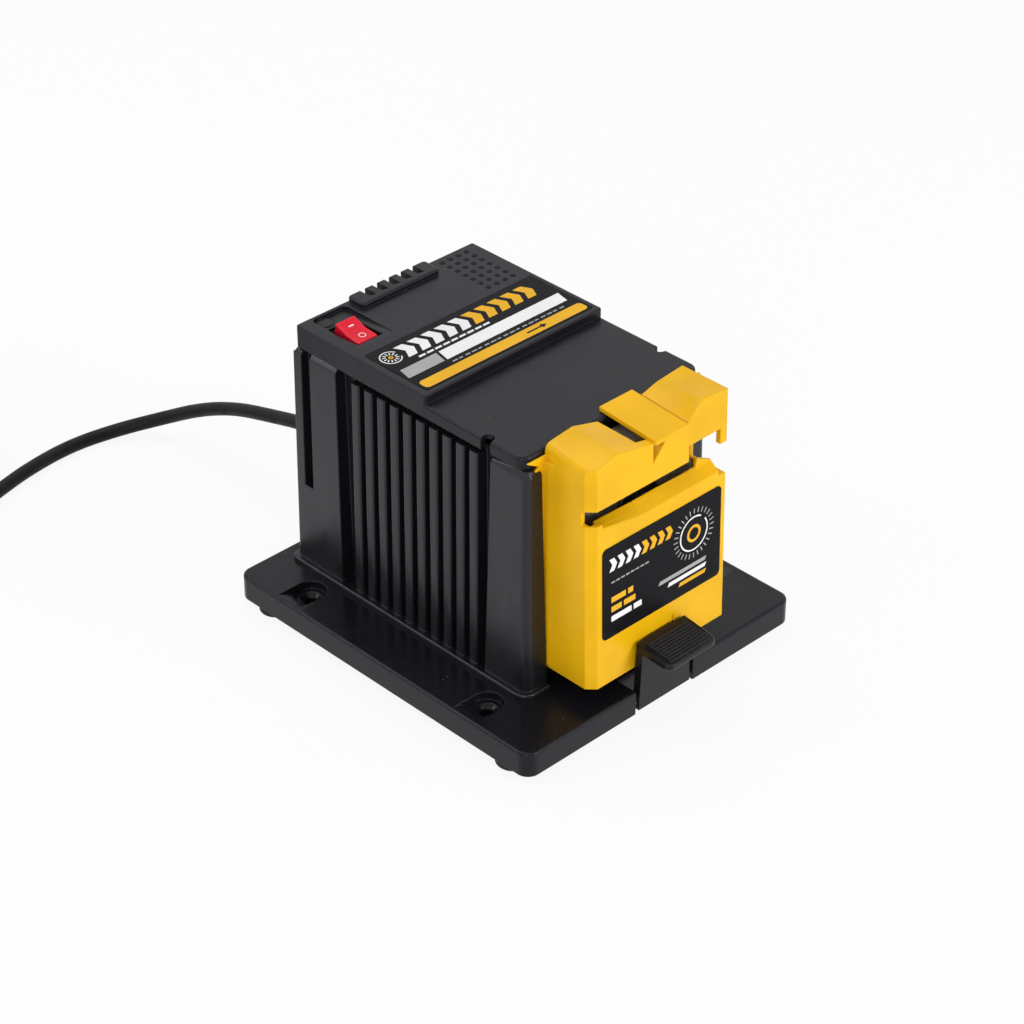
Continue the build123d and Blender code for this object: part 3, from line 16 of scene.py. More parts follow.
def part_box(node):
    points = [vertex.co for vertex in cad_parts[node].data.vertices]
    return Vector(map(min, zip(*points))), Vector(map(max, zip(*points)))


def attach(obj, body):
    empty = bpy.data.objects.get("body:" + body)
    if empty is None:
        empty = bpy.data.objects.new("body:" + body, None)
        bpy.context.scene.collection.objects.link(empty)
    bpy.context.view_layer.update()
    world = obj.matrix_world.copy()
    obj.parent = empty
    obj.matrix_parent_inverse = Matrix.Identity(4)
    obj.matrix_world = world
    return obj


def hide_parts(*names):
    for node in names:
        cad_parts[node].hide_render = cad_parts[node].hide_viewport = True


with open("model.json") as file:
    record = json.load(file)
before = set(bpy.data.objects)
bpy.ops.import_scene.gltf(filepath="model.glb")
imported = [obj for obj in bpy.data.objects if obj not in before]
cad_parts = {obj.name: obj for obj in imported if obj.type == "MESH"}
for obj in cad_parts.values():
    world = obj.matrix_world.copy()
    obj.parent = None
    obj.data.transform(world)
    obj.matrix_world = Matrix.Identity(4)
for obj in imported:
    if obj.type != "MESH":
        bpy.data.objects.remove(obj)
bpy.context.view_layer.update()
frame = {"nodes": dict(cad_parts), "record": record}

bl_info = {
    "name": "Knife Sharpener Dressing",
    "version": (1, 0, 0),
    "blender": (4, 5, 0),
    "location": "View3D > Sidebar > Sharpener",
    "description": "Finishes, prints, mains lead and studio of an electric knife sharpener",
    "category": "Object",
}

NODES = frame["nodes"]
BODY_OF = {
    node: body
    for body, nodes in frame["record"]["behaviour"]["bodies"].items()
    for node in nodes
}
SLOT_OF = {part["node"]: part["material_slot"] for part in frame["record"]["subparts"]}
# finishes that differ from the one named by the node's slot
FINISH_OF = {"wheel_flanges": "blacked_steel", "wheel_nut": "blacked_steel"}

MM = 0.001


# ---- properties ----
def colour_property(name, description, default):
    return FloatVectorProperty(
        name=name, description=description, default=default, size=3, min=0.0, max=1.0,
        subtype="COLOR",
    )


def length_property(name, description, default):
    return FloatProperty(
        name=name, description=description, default=default, min=0.0, unit="LENGTH",
        subtype="DISTANCE", precision=5,
    )


def count_property(name, description, default, low, high):
    return IntProperty(name=name, description=description, default=default, min=low, max=high)


def power_property(name, description, default):
    return FloatProperty(
        name=name, description=description, default=default, min=0.0, subtype="POWER",
    )


class SharpenerFinish(bpy.types.PropertyGroup):
    """Colours and surface detail of the moulded pieces."""

    yellow: colour_property("Guide yellow", "Plastic of the guide head", (0.9, 0.492, 0.004))
    housing: colour_property(
        "Housing black", "Plastic of the motor housing", (0.0085, 0.0085, 0.011),
    )
    cover: colour_property("Cover black", "Plastic of the top cover", (0.0085, 0.0085, 0.011))
    base: colour_property("Base black", "Plastic of the base plate", (0.008, 0.008, 0.0105))
    catch: colour_property(
        "Catch black", "Plastic of the catch lever", (0.0085, 0.0085, 0.0105),
    )
    rocker: colour_property("Rocker red", "Plastic of the rocker", (0.76, 0.008, 0.03))
    edge: length_property("Edge radius", "Round on the edges of the mouldings", 0.4 * MM)
    fine_edge: length_property("Fine edge radius", "Round on small pieces", 0.2 * MM)
    screw_edge: length_property("Screw edge radius", "Round on the screws", 0.1 * MM)
    grain: length_property("Grain depth", "Depth of the grain of the moulds", 0.016 * MM)
    dust: FloatProperty(
        name="Dust", description="Share of the dust specks that show on upper faces",
        default=0.5, min=0.0, max=1.0, subtype="FACTOR",
    )


class SharpenerLabels(bpy.types.PropertyGroup):
    """Colours and sizes of the printed plates."""

    film: colour_property("Film", "Ground colour of both plates", (0.007, 0.007, 0.009))
    white: colour_property("Print white", "White print", (0.9, 0.9, 0.9))
    yellow: colour_property("Print yellow", "Yellow print", (0.87, 0.47, 0.03))
    grey: colour_property("Print grey", "Pale grey print", (0.42, 0.42, 0.42))
    ink: length_property("Ink thickness", "Height of the print above its plate", 0.05 * MM)
    chevrons: count_property(
        "Chevrons", "Chevrons in each half of the row on the top plate", 5, 1, 12,
    )
    chevron_height: length_property("Chevron height", "Height of a chevron", 10.6 * MM)
    ticks: count_property(
        "Ticks", "Ticks round the wheel sign on the guide head's plate", 28, 3, 90,
    )


class SharpenerCord(bpy.types.PropertyGroup):
    """The mains lead and the way its spare length is wound."""

    diameter: length_property("Diameter", "Diameter of the round sheath", 7.0 * MM)
    length: length_property("Length", "Real length from the strain relief to the plug", 1.63)
    pitch: length_property("Turn pitch", "Distance between turns side by side", 7.0 * MM)
    inner: length_property("Inner radius", "Radius of the coil's smallest turn", 33.0 * MM)
    steps: count_property(
        "Points per turn", "Control points in each turn of the coil", 24, 12, 60,
    )
    sheath: colour_property("Sheath", "Colour of the sheath", (0.0085, 0.0085, 0.0095))


class SharpenerStage(bpy.types.PropertyGroup):
    """Floor, lamps and camera."""

    floor: colour_property("Floor", "Colour of the floor", (0.9, 0.9, 0.9))
    ambient: FloatProperty(
        name="Ambient", description="Strength of the even light from all round",
        default=0.42, min=0.0, max=2.0,
    )
    key: power_property("Key lamp", "Power of the large lamp at the front right", 16.9)
    fill: power_property("Fill lamp", "Power of the lamp at the left", 7.0)
    top: power_property("Top lamp", "Power of the lamp overhead", 9.4)
    rim: power_property("Rim lamp", "Power of the small lamp behind at the left", 4.0)
    lens: FloatProperty(
        name="Lens", description="Focal length of the camera", default=107.31, min=10.0,
        unit="CAMERA",
    )


# ---- node trees ----
def linked(socket, value, links):
    """Sets an input to a plain value or joins it to an output."""
    if isinstance(value, bpy.types.NodeSocket):
        links.new(value, socket)
    elif hasattr(value, "__len__") and len(value) == 3 and socket.type == "RGBA":
        socket.default_value = (*value, 1.0)
    else:
        socket.default_value = value


class Tree:
    """A node tree under construction."""

    def __init__(self, tree):
        self.nodes, self.links = tree.nodes, tree.links

    def node(self, kind, inputs=(), output=0, **settings):
        """The output of a new node, whose inputs are given by name or number."""
        made = self.nodes.new(kind)
        for key, value in settings.items():
            setattr(made, key, value)
        for key, value in dict(inputs).items():
            linked(made.inputs[key], value, self.links)
        return made.outputs[output]

    def maths(self, operation, a, b=0.0, clamp=False):
        return self.node("ShaderNodeMath", {0: a, 1: b}, operation=operation, use_clamp=clamp)

    def show(self, seen, usual, share, end):
        """Ends the tree: shows the seen shader to the eye, straight or by a mirror or glass.

        It takes this share there, and the usual one gets the rest and lights the scene.
        """
        path = self.nodes.new("ShaderNodeLightPath").outputs
        total = path["Is Camera Ray"]
        for name in ("Is Glossy Ray", "Is Transmission Ray"):
            total = self.maths("ADD", total, path[name], clamp=True)
        factor = self.maths("MULTIPLY", total, share)
        mix = self.node("ShaderNodeMixShader", {0: factor, 1: usual, 2: seen})
        self.links.new(mix, self.nodes[end].inputs["Surface"])


# ---- finishes ----
DARK = 0.03                      # colours below this get the tinted highlight
DARK_TINT = (0.92, 0.92, 1.0)
BEVEL_SAMPLES = 6


class Finish(Tree):
    """The node tree of one finish, whose patterns read Object coordinates in metres."""

    def __init__(self, name, colour, roughness, metallic=0.0, specular=0.5):
        self.material = bpy.data.materials.new(name)
        self.material.use_nodes = True
        super().__init__(self.material.node_tree)
        self.colour = tuple(colour)
        self.normal = None
        self.place = self.node("ShaderNodeTexCoord", output="Object")
        self.shader = self.nodes["Principled BSDF"]
        values = {
            "Base Color": self.colour, "Roughness": roughness, "Metallic": metallic,
            "Specular IOR Level": specular,
        }
        if max(colour) < DARK:
            values["Specular Tint"] = DARK_TINT
        for key, value in values.items():
            linked(self.shader.inputs[key], value, self.links)
        self.material.diffuse_color = (*colour, 1.0)

    def noise(self, scale, detail=2.0, stretch=None, distortion=0.0):
        """Cloudy pattern with this many features in a metre."""
        vector = self.place
        if stretch is not None:
            vector = self.node("ShaderNodeMapping", {"Vector": vector, "Scale": stretch})
        values = {"Vector": vector, "Scale": scale, "Detail": detail, "Distortion": distortion}
        return self.node("ShaderNodeTexNoise", values, "Fac")

    def cells(self, scale, output="Distance"):
        values = {"Vector": self.place, "Scale": scale}
        return self.node("ShaderNodeTexVoronoi", values, output, feature="F1")

    def layers(self, scale, distortion, profile="SIN"):
        """Bands across the Y axis."""
        values = {"Vector": self.place, "Scale": scale, "Distortion": distortion}
        return self.node(
            "ShaderNodeTexWave", values, "Fac", bands_direction="Y", wave_profile=profile,
        )

    def remap(self, value, low, high, to_low=0.0, to_high=1.0):
        values = {
            "Value": value, "From Min": low, "From Max": high, "To Min": to_low, "To Max": to_high,
        }
        return self.node("ShaderNodeMapRange", values, "Result")

    def mixed(self, factor, a, b):
        return self.node("ShaderNodeMix", {0: factor, 6: a, 7: b}, 2, data_type="RGBA")

    def upward(self, low, high):
        """One on faces that look up, nothing on upright ones."""
        normal = self.node("ShaderNodeNewGeometry", output="Normal")
        return self.remap(self.node("ShaderNodeSeparateXYZ", {"Vector": normal}, "Z"), low, high)

    def paint(self, value):
        linked(self.shader.inputs["Base Color"], value, self.links)
        return self

    def rough(self, value):
        linked(self.shader.inputs["Roughness"], value, self.links)
        return self

    def faced(self, normal):
        self.normal = normal
        self.links.new(normal, self.shader.inputs["Normal"])
        return self

    def bump(self, height, depth, strength=1.0):
        """Raises the surface by a pattern; further calls build on the ones before."""
        values = {"Height": height, "Strength": strength, "Distance": depth}
        if self.normal is not None:
            values["Normal"] = self.normal
        return self.faced(self.node("ShaderNodeBump", values))

    def soft_edges(self, radius):
        """Shades sharp edges as if they were rounded by this radius."""
        return self.faced(self.node("ShaderNodeBevel", {"Radius": radius}, samples=BEVEL_SAMPLES))

    def shade(self, factor):
        """The finish's own colour, made darker or lighter."""
        return tuple(min(1.0, c * factor) for c in self.colour)

    def clouds(self, scale, detail, low, high, dark, light):
        """Cloudy shades of the finish's own colour."""
        share = self.remap(self.noise(scale, detail), low, high)
        return self.mixed(share, self.shade(dark), self.shade(light))


def moulded_plastic(name, colour, roughness, grain, depth, dust=0.0, specular=0.3, edge=0.3 * MM):
    """Spark-eroded plastic: fine grain, faint flow clouds, uneven sheen and a little dust."""
    made = Finish(name, colour, roughness, specular=specular).soft_edges(edge)
    tone = made.clouds(26.0, 4.0, 0.3, 0.7, 0.9, 1.1)
    smears = made.noise(75.0, 5.0, stretch=(1.0, 1.6, 0.45), distortion=0.6)
    sheen = made.remap(smears, 0.3, 0.75, roughness - 0.07, roughness + 0.08)
    if dust > 0.0:
        speck = made.remap(made.cells(210.0), 0.032, 0.052, 1.0, 0.0)
        bare = 0.62 - 0.1 * dust
        thinned = made.remap(made.noise(110.0, 1.0), bare, bare + 0.04)
        seen = made.maths("MULTIPLY", made.maths("MULTIPLY", speck, thinned), made.upward(0.3, 0.7))
        tone = made.mixed(made.maths("MULTIPLY", seen, 0.75), tone, (0.33, 0.33, 0.32))
        sheen = made.maths("ADD", sheen, made.maths("MULTIPLY", seen, 0.3))
    made.paint(tone).rough(sheen)
    made.bump(made.noise(grain), depth)
    made.bump(made.noise(70.0), depth * 2.0, 0.35)
    return made.material


def gloss_plastic(name, colour, roughness):
    """Polished plastic with faint waves and hairline scuffs."""
    made = Finish(name, colour, roughness, specular=0.15)
    made.shader.inputs["Coat Weight"].default_value = 0.1
    made.shader.inputs["Coat Roughness"].default_value = 0.08
    made.paint(made.clouds(90.0, 3.0, 0.35, 0.65, 0.94, 1.05))
    scuffs = made.noise(420.0, 3.0, stretch=(1.0, 0.12, 1.0))
    made.rough(made.remap(scuffs, 0.4, 0.7, roughness - 0.04, roughness + 0.14))
    return made.bump(made.noise(210.0), 0.006 * MM).material


def printed_film(name, colour, roughness):
    """Satin film or ink with a faint weave of the print screen."""
    made = Finish(name, colour, roughness, specular=0.06)
    made.paint(made.clouds(55.0, 3.0, 0.35, 0.65, 0.95, 1.03))
    wear = made.noise(320.0, 4.0, stretch=(0.25, 1.0, 1.0))
    made.rough(made.remap(wear, 0.4, 0.75, roughness - 0.02, roughness + 0.06))
    return made.bump(made.noise(1400.0), 0.002 * MM).material


def soft_rubber(name, colour, roughness):
    """Moulded rubber or soft sheath: matt, a little chalky, with a fine skin."""
    made = Finish(name, colour, roughness, specular=0.14)
    made.shader.inputs["Sheen Weight"].default_value = 0.02
    made.paint(made.clouds(60.0, 5.0, 0.4, 0.75, 0.92, 1.35))
    skin = made.noise(240.0, 3.0)
    made.rough(made.remap(skin, 0.35, 0.7, roughness - 0.08, roughness + 0.1))
    return made.bump(made.noise(1700.0, 3.0), 0.012 * MM).material


def turned_metal(name, colour, roughness, stretch):
    """Metal with tool lines along one axis and dull patches."""
    made = Finish(name, colour, roughness, metallic=1.0)
    made.paint(made.clouds(130.0, 4.0, 0.35, 0.7, 1.0, 0.85))
    lines = made.noise(900.0, 3.0, stretch=stretch)
    made.rough(made.remap(lines, 0.3, 0.7, roughness - 0.08, roughness + 0.14))
    return made.bump(lines, 0.004 * MM).material


def bonded_grit(name, colour):
    """Abrasive of the wheel: pale and dark grains in a grey bond."""
    made = Finish(name, colour, 0.85, specular=0.3)
    grains = made.cells(1500.0, "Color")
    pick = made.node("ShaderNodeSeparateColor", {"Color": grains})
    tone = made.mixed(made.remap(pick, 0.0, 1.0), made.shade(0.55), made.shade(1.5))
    swarf = made.remap(made.noise(110.0, 5.0), 0.45, 0.7)
    made.paint(made.mixed(made.maths("MULTIPLY", swarf, 0.5), tone, (0.11, 0.1, 0.09)))
    made.rough(made.remap(pick, 0.0, 1.0, 0.6, 0.95))
    made.bump(made.cells(1500.0), 0.16 * MM, 0.9)
    return made.bump(made.noise(3200.0, 3.0), 0.06 * MM, 0.6).material


def wound_wire(name, colour):
    """Enamelled wire, laid side by side, with painted shade in the grooves between the wires and a
    painted highlight on their crowns.
    """
    made = Finish(name, colour, 0.32, metallic=0.85)
    wires = made.layers(330.0, 0.6)
    # painted shade and highlight: the colour darkens in the grooves between the wires and lightens
    # on their crowns
    made.paint(made.mixed(wires, made.shade(0.35), made.shade(1.1)))
    made.rough(made.remap(made.noise(300.0, 3.0), 0.3, 0.7, 0.25, 0.5))
    return made.bump(wires, 0.2 * MM).material


def stacked_sheets(name, colour):
    """Edges of stamped steel sheets, stacked along the shaft."""
    made = Finish(name, colour, 0.45, metallic=0.9)
    sheets = made.layers(300.0, 0.2, "SAW")
    rust = made.remap(made.noise(90.0, 5.0), 0.55, 0.75, 0.0, 0.5)
    edges = made.mixed(sheets, made.shade(0.6), made.shade(1.15))
    made.paint(made.mixed(rust, edges, (0.16, 0.09, 0.05)))
    made.rough(made.remap(made.noise(400.0, 3.0), 0.3, 0.7, 0.35, 0.6))
    return made.bump(sheets, 0.1 * MM).material


def cast_metal(name, colour):
    """Die-cast alloy with a sandy skin."""
    made = Finish(name, colour, 0.5, metallic=0.9)
    made.paint(made.clouds(75.0, 5.0, 0.35, 0.7, 0.8, 1.05))
    made.rough(made.remap(made.noise(500.0, 3.0), 0.3, 0.7, 0.4, 0.65))
    return made.bump(made.noise(1300.0, 3.0), 0.05 * MM).material


FINISHES = {}


def make_finishes(scene):
    """Builds every finish once, from the colours in the sidebar."""
    look, print_, lead = scene.sharpener_finish, scene.sharpener_labels, scene.sharpener_cord
    depth, dust, wide_edge = look.grain, look.dust, look.edge * 1.5
    recipes = {
        # colour, roughness, grains in a metre, their depth, dust, highlight, edge
        moulded_plastic: {
            "base_black": (look.base, 0.26, 1500.0, depth * 0.5, dust, 0.2, wide_edge),
            "housing_black": (look.housing, 0.3, 1900.0, depth * 0.7, dust, 0.38, wide_edge),
            "cover_black": (look.cover, 0.33, 1900.0, depth * 0.8, dust, 0.22, wide_edge),
            "switch_black": ((0.013, 0.013, 0.013), 0.35, 1900.0, depth),
            "catch_black": (look.catch, 0.3, 1700.0, depth, dust * 0.5, 0.24),
            "guide_yellow": (
                look.yellow, 0.34, 1600.0, depth * 0.6, 0.0, 0.18, look.edge * 1.25,
            ),
            "fan_grey": ((0.2, 0.2, 0.21), 0.45, 1500.0, depth),
            "tie_black": ((0.02, 0.02, 0.021), 0.5, 1500.0, depth),
            "plug_black": ((0.011, 0.011, 0.012), 0.4, 1500.0, depth, dust),
        },
        # colour, roughness
        gloss_plastic: {"rocker_red": (look.rocker, 0.24)},
        printed_film: {
            "label_film": (print_.film, 0.34),
            "ink_white": (print_.white, 0.35),
            "ink_yellow": (print_.yellow, 0.35),
            "ink_grey": (print_.grey, 0.35),
        },
        soft_rubber: {
            "foot_rubber": ((0.028, 0.028, 0.03), 0.7),
            "boot_rubber": ((0.011, 0.011, 0.012), 0.5),
            "cord_pvc": (lead.sheath, 0.5),
        },
        # colour, roughness, stretch of the tool lines
        turned_metal: {
            "pin_steel": ((0.6, 0.6, 0.61), 0.25, (1.0, 0.05, 1.0)),
            "zinc_steel": ((0.62, 0.61, 0.57), 0.35, (1.0, 1.0, 0.2)),
            "spring_steel": ((0.42, 0.42, 0.43), 0.3, (0.1, 1.0, 1.0)),
            "bearing_steel": ((0.6, 0.6, 0.62), 0.18, (1.0, 0.1, 1.0)),
            "copper_bar": ((0.72, 0.34, 0.19), 0.3, (1.0, 0.08, 1.0)),
            "brass_tube": ((0.7, 0.52, 0.24), 0.3, (0.1, 1.0, 1.0)),
            "pin_nickel": ((0.66, 0.64, 0.6), 0.2, (0.1, 1.0, 1.0)),
            "blacked_steel": ((0.09, 0.09, 0.095), 0.4, (1.0, 0.2, 1.0)),
        },
        # colour
        bonded_grit: {"abrasive_grey": ((0.17, 0.165, 0.15),)},
        wound_wire: {"copper_wire": ((0.5, 0.18, 0.06),)},
        stacked_sheets: {"core_steel": ((0.3, 0.3, 0.31),)},
        cast_metal: {
            "cast_alloy": ((0.52, 0.52, 0.53),),
            "carbon": ((0.035, 0.035, 0.035),),
        },
    }
    FINISHES.clear()
    for maker, rows in recipes.items():
        for name, values in rows.items():
            FINISHES[name] = maker(name, *values)


def finish(name):
    if name not in FINISHES:
        make_finishes(bpy.context.scene)
    return FINISHES[name]


# ---- mesh building ----
JOIN_DISTANCE = 0.002 * MM
SHORTEST_EDGE = 0.01 * MM
FLAT_ANGLE = 0.6         # degrees between the triangles of one flat face
ROOMY_ANGLE = 25.0       # degrees; sharper edges are rounded where they have room
ROUNDED_ANGLE = 32.0     # degrees; sharper edges are rounded by the modifier
SHARP_ANGLE = 50.0       # degrees; sharper edges stay sharp in the shading


def put(name, data):
    """A new object in the scene."""
    made = bpy.data.objects.new(name, data)
    bpy.context.scene.collection.objects.link(made)
    return made


def place_piece(name, mesh, body, finishes, replaced=()):
    """Puts a finished mesh in the scene, riding on its body."""
    piece = put(name, mesh)
    mesh.name = name
    numbers = [face.material_index for face in mesh.polygons]
    mesh.materials.clear()
    for one in finishes:
        mesh.materials.append(finish(one))
    top = len(finishes) - 1
    mesh.polygons.foreach_set("material_index", [min(number, top) for number in numbers])
    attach(piece, body)
    if replaced:
        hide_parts(*replaced)
    return piece


def baked(source):
    """A plain mesh of what an object's modifiers make."""
    depsgraph = bpy.context.evaluated_depsgraph_get()
    mesh = bpy.data.meshes.new_from_object(source.evaluated_get(depsgraph))
    old = source.data
    bpy.data.objects.remove(source)
    bpy.data.meshes.remove(old)
    return mesh


def opened(*meshes):
    """A form to edit, with the faces of these meshes and their finish numbers."""
    form = bmesh.new()
    for mesh in meshes:
        form.from_mesh(mesh)
    return form


def closed(form, mesh=None):
    """The mesh of an edited form, a new one or the one given."""
    mesh = mesh or bpy.data.meshes.new("form")
    form.to_mesh(mesh)
    form.free()
    return mesh


def merged_copy(node):
    """A CAD piece's mesh with its triangles joined and its flat faces made whole."""
    mesh = NODES[node].data.copy()
    form = opened(mesh)
    bmesh.ops.remove_doubles(form, verts=form.verts, dist=JOIN_DISTANCE)
    bmesh.ops.dissolve_limit(
        form, angle_limit=math.radians(FLAT_ANGLE), verts=form.verts, edges=form.edges,
    )
    closed(form, mesh)
    if "custom_normal" in mesh.attributes:
        mesh.attributes.remove(mesh.attributes["custom_normal"])
    return mesh


def smoothed(mesh, angle):
    """Smooth shading that keeps edges sharper than the angle."""
    mesh.shade_smooth()
    mesh.set_sharp_from_angle(angle=math.radians(angle))
    return mesh


def eased_edges(mesh, edge, room):
    """Rounds the sharp edges of a mesh, save those that end at an edge shorter than the room."""
    form = opened(mesh)
    bmesh.ops.dissolve_degenerate(form, edges=form.edges, dist=SHORTEST_EDGE)
    crowded = {corner for side in form.edges if side.calc_length() < room for corner in side.verts}
    sharp = math.radians(ROOMY_ANGLE)
    picked = [
        side for side in form.edges
        if len(side.link_faces) == 2 and side.calc_face_angle(0.0) > sharp
        and not crowded.intersection(side.verts)
    ]
    bmesh.ops.bevel(
        form, geom=picked, offset=edge, offset_type="OFFSET", segments=2, profile=0.5,
        affect="EDGES", clamp_overlap=False, miter_outer="SHARP",
    )
    closed(form, mesh)


def softened(name, node, edge, room=None):
    """A CAD piece with rounded edges, which stands for that piece.

    With a room, only edges that leave that much room are rounded, by their full radius.
    """
    block = put(name + "_block", merged_copy(node))
    if room:
        eased_edges(block.data, edge, room)
    else:
        rounds = block.modifiers.new("rounds", "BEVEL")
        rounds.width = edge
        rounds.segments = 2
        rounds.limit_method = "ANGLE"
        rounds.angle_limit = math.radians(ROUNDED_ANGLE)
        rounds.use_clamp_overlap = True
        rounds.miter_outer = "MITER_ARC"
    weights = block.modifiers.new("weights", "WEIGHTED_NORMAL")
    weights.keep_sharp = True
    smoothed(block.data, SHARP_ANGLE)
    surface = FINISH_OF.get(node, SLOT_OF[node])
    return place_piece(name, baked(block), BODY_OF[node], [surface], [node])


def skinned(skins):
    """One mesh of closed skins, each given as (rows of points, finish number).

    Every row of a skin is a closed outline with the same count of points.
    """
    form = bmesh.new()
    for rows, number in skins:
        rows = [[form.verts.new(point) for point in row] for row in rows]
        faces = [form.faces.new(rows[0]), form.faces.new(rows[-1][::-1])]
        for here, there in zip(rows, rows[1:]):
            for i in range(len(here)):
                faces.append(form.faces.new((here[i - 1], here[i], there[i], there[i - 1])))
        for face in faces:
            face.material_index = number
    bmesh.ops.recalc_face_normals(form, faces=form.faces)
    return closed(form)


def joined(meshes):
    """One mesh from several, which keeps their finish numbers."""
    whole = closed(opened(*meshes))
    for mesh in meshes:
        bpy.data.meshes.remove(mesh)
    return whole


def prism(outline, floor, top):
    """Rows of an upright prism."""
    return [[(x, y, z) for x, y in outline] for z in (floor, top)]


def bar(x, y, length, height, lean=0.0):
    """Outline of a bar from its lower left corner, whose upper side may be pushed along."""
    return [(x, y), (x + length, y), (x + length + lean, y + height), (x + lean, y + height)]


def arc(cx, cy, radius, start, end, steps):
    """Points of an arc between two angles in degrees."""
    angles = [math.radians(start + (end - start) * i / steps) for i in range(steps + 1)]
    return [(cx + radius * math.cos(a), cy + radius * math.sin(a)) for a in angles]


def ring_sector(cx, cy, inner, outer, start, end, steps):
    """Outline of a part of a ring between two angles in degrees, anticlockwise."""
    return arc(cx, cy, outer, start, end, steps) + arc(cx, cy, inner, end, start, steps)


def round_rectangle(x0, x1, y0, y1, radius):
    """Outline of a rectangle with round corners, anticlockwise."""
    left, right, low, high = x0 + radius, x1 - radius, y0 + radius, y1 - radius
    corners = [(right, high, 0.0), (left, high, 90.0), (left, low, 180.0), (right, low, 270.0)]
    return [point for x, y, a in corners for point in arc(x, y, radius, a, a + 90.0, 6)]


def facing(x, y, z, place):
    """Matrix that turns the three axes to these directions and moves them to a place."""
    return Matrix.Translation(place) @ Matrix((x, y, z)).transposed().to_4x4()


# ---- geometry nodes ----
class Grower(Tree):
    """A Geometry Nodes tree under construction, with named inputs."""

    def __init__(self, name, **sizes):
        self.tree = bpy.data.node_groups.new(name, "GeometryNodeTree")
        super().__init__(self.tree)
        face = self.tree.interface
        face.new_socket(name="Geometry", in_out="OUTPUT", socket_type="NodeSocketGeometry")
        for label, kind in {"Geometry": "Geometry", **sizes, "Material": "Material"}.items():
            face.new_socket(name=label, in_out="INPUT", socket_type="NodeSocket" + kind)
        inputs = self.nodes.new("NodeGroupInput").outputs
        self.surface, self.material = inputs["Geometry"], inputs["Material"]
        self.sizes = [inputs[label] for label in sizes]
        self.end = self.nodes.new("NodeGroupOutput").inputs["Geometry"]

    def vector(self, x=0.0, y=0.0, z=0.0):
        return self.node("ShaderNodeCombineXYZ", {"X": x, "Y": y, "Z": z})

    def finished(self, points, instance, **settings):
        """Ends the tree: an instance on every point, made real, with its finish."""
        spread = self.node(
            "GeometryNodeInstanceOnPoints", {"Points": points, "Instance": instance, **settings},
        )
        real = self.node("GeometryNodeRealizeInstances", {"Geometry": spread})
        painted = self.node(
            "GeometryNodeSetMaterial", {"Geometry": real, "Material": self.material},
        )
        self.links.new(painted, self.end)
        return self.tree


def grown(tree, base=None, **values):
    """The plain mesh that a tree makes with these values."""
    holder = put("holder", base or bpy.data.meshes.new("seed"))
    modifier = holder.modifiers.new("tree", "NODES")
    modifier.node_group = tree
    for item in tree.interface.items_tree:
        if item.in_out == "INPUT" and item.name in values:
            modifier[item.identifier] = values[item.name]
    mesh = baked(holder)
    if not mesh.polygons:
        raise RuntimeError(tree.name + " made no faces")
    return mesh


def chevron_row_tree():
    """Upright chevrons in a row along X, each bent at the middle of its height."""
    t = Grower(
        "chevron_row", Count="Int", Pitch="Float", Width="Float", Height="Float",
        Thickness="Float", Bend="Float",
    )
    count, pitch, width, height, thickness, bend = t.sizes
    size = t.vector(width, height, thickness)
    block = t.node("GeometryNodeMeshCube", {"Size": size, "Vertices Y": 3}, "Mesh")
    place = t.node("GeometryNodeInputPosition")
    level = t.node("ShaderNodeSeparateXYZ", {"Vector": place}, "Y")
    shift = t.maths("MULTIPLY", t.maths("ABSOLUTE", level), bend)
    offset = t.vector(t.maths("MULTIPLY", shift, -1.0))
    bent = t.node("GeometryNodeSetPosition", {"Geometry": block, "Offset": offset})
    row = t.node("GeometryNodeMeshLine", {"Count": count, "Offset": t.vector(pitch)})
    return t.finished(row, bent)


def tick_ring_tree():
    """Short bars that stand round a ring like the spokes of a wheel."""
    t = Grower(
        "tick_ring", Count="Int", Radius="Float", Length="Float", Width="Float",
        Thickness="Float",
    )
    count, radius, length, width, thickness = t.sizes
    size = t.vector(length, width, thickness)
    block = t.node("GeometryNodeMeshCube", {"Size": size}, "Mesh")
    ring = t.node("GeometryNodeMeshCircle", {"Vertices": count, "Radius": radius})
    index = t.node("GeometryNodeInputIndex")
    turn = t.maths("DIVIDE", t.maths("MULTIPLY", index, math.tau), count)
    return t.finished(ring, block, Rotation=t.vector(0.0, 0.0, turn))


def grain_tree():
    """Abrasive grains that stand out of a surface, scattered with a fixed seed."""
    t = Grower("grains", Density="Float", Radius="Float", Seed="Int")
    density, radius, seed = t.sizes
    spots = t.node("GeometryNodeDistributePointsOnFaces", {
        "Mesh": t.surface, "Density": density, "Seed": seed,
    }, "Points")
    grain = t.node("GeometryNodeMeshIcoSphere", {"Radius": radius, "Subdivisions": 1}, "Mesh")
    # the numbered inputs and outputs are those of the type in use: least, most, value
    size = t.node(
        "FunctionNodeRandomValue", {2: 0.5, 3: 1.4, "Seed": seed}, 1, data_type="FLOAT",
    )
    turn = t.node(
        "FunctionNodeRandomValue", {1: (6.28, 6.28, 6.28), "Seed": seed},
        data_type="FLOAT_VECTOR",
    )
    return t.finished(spots, grain, Scale=size, Rotation=turn)


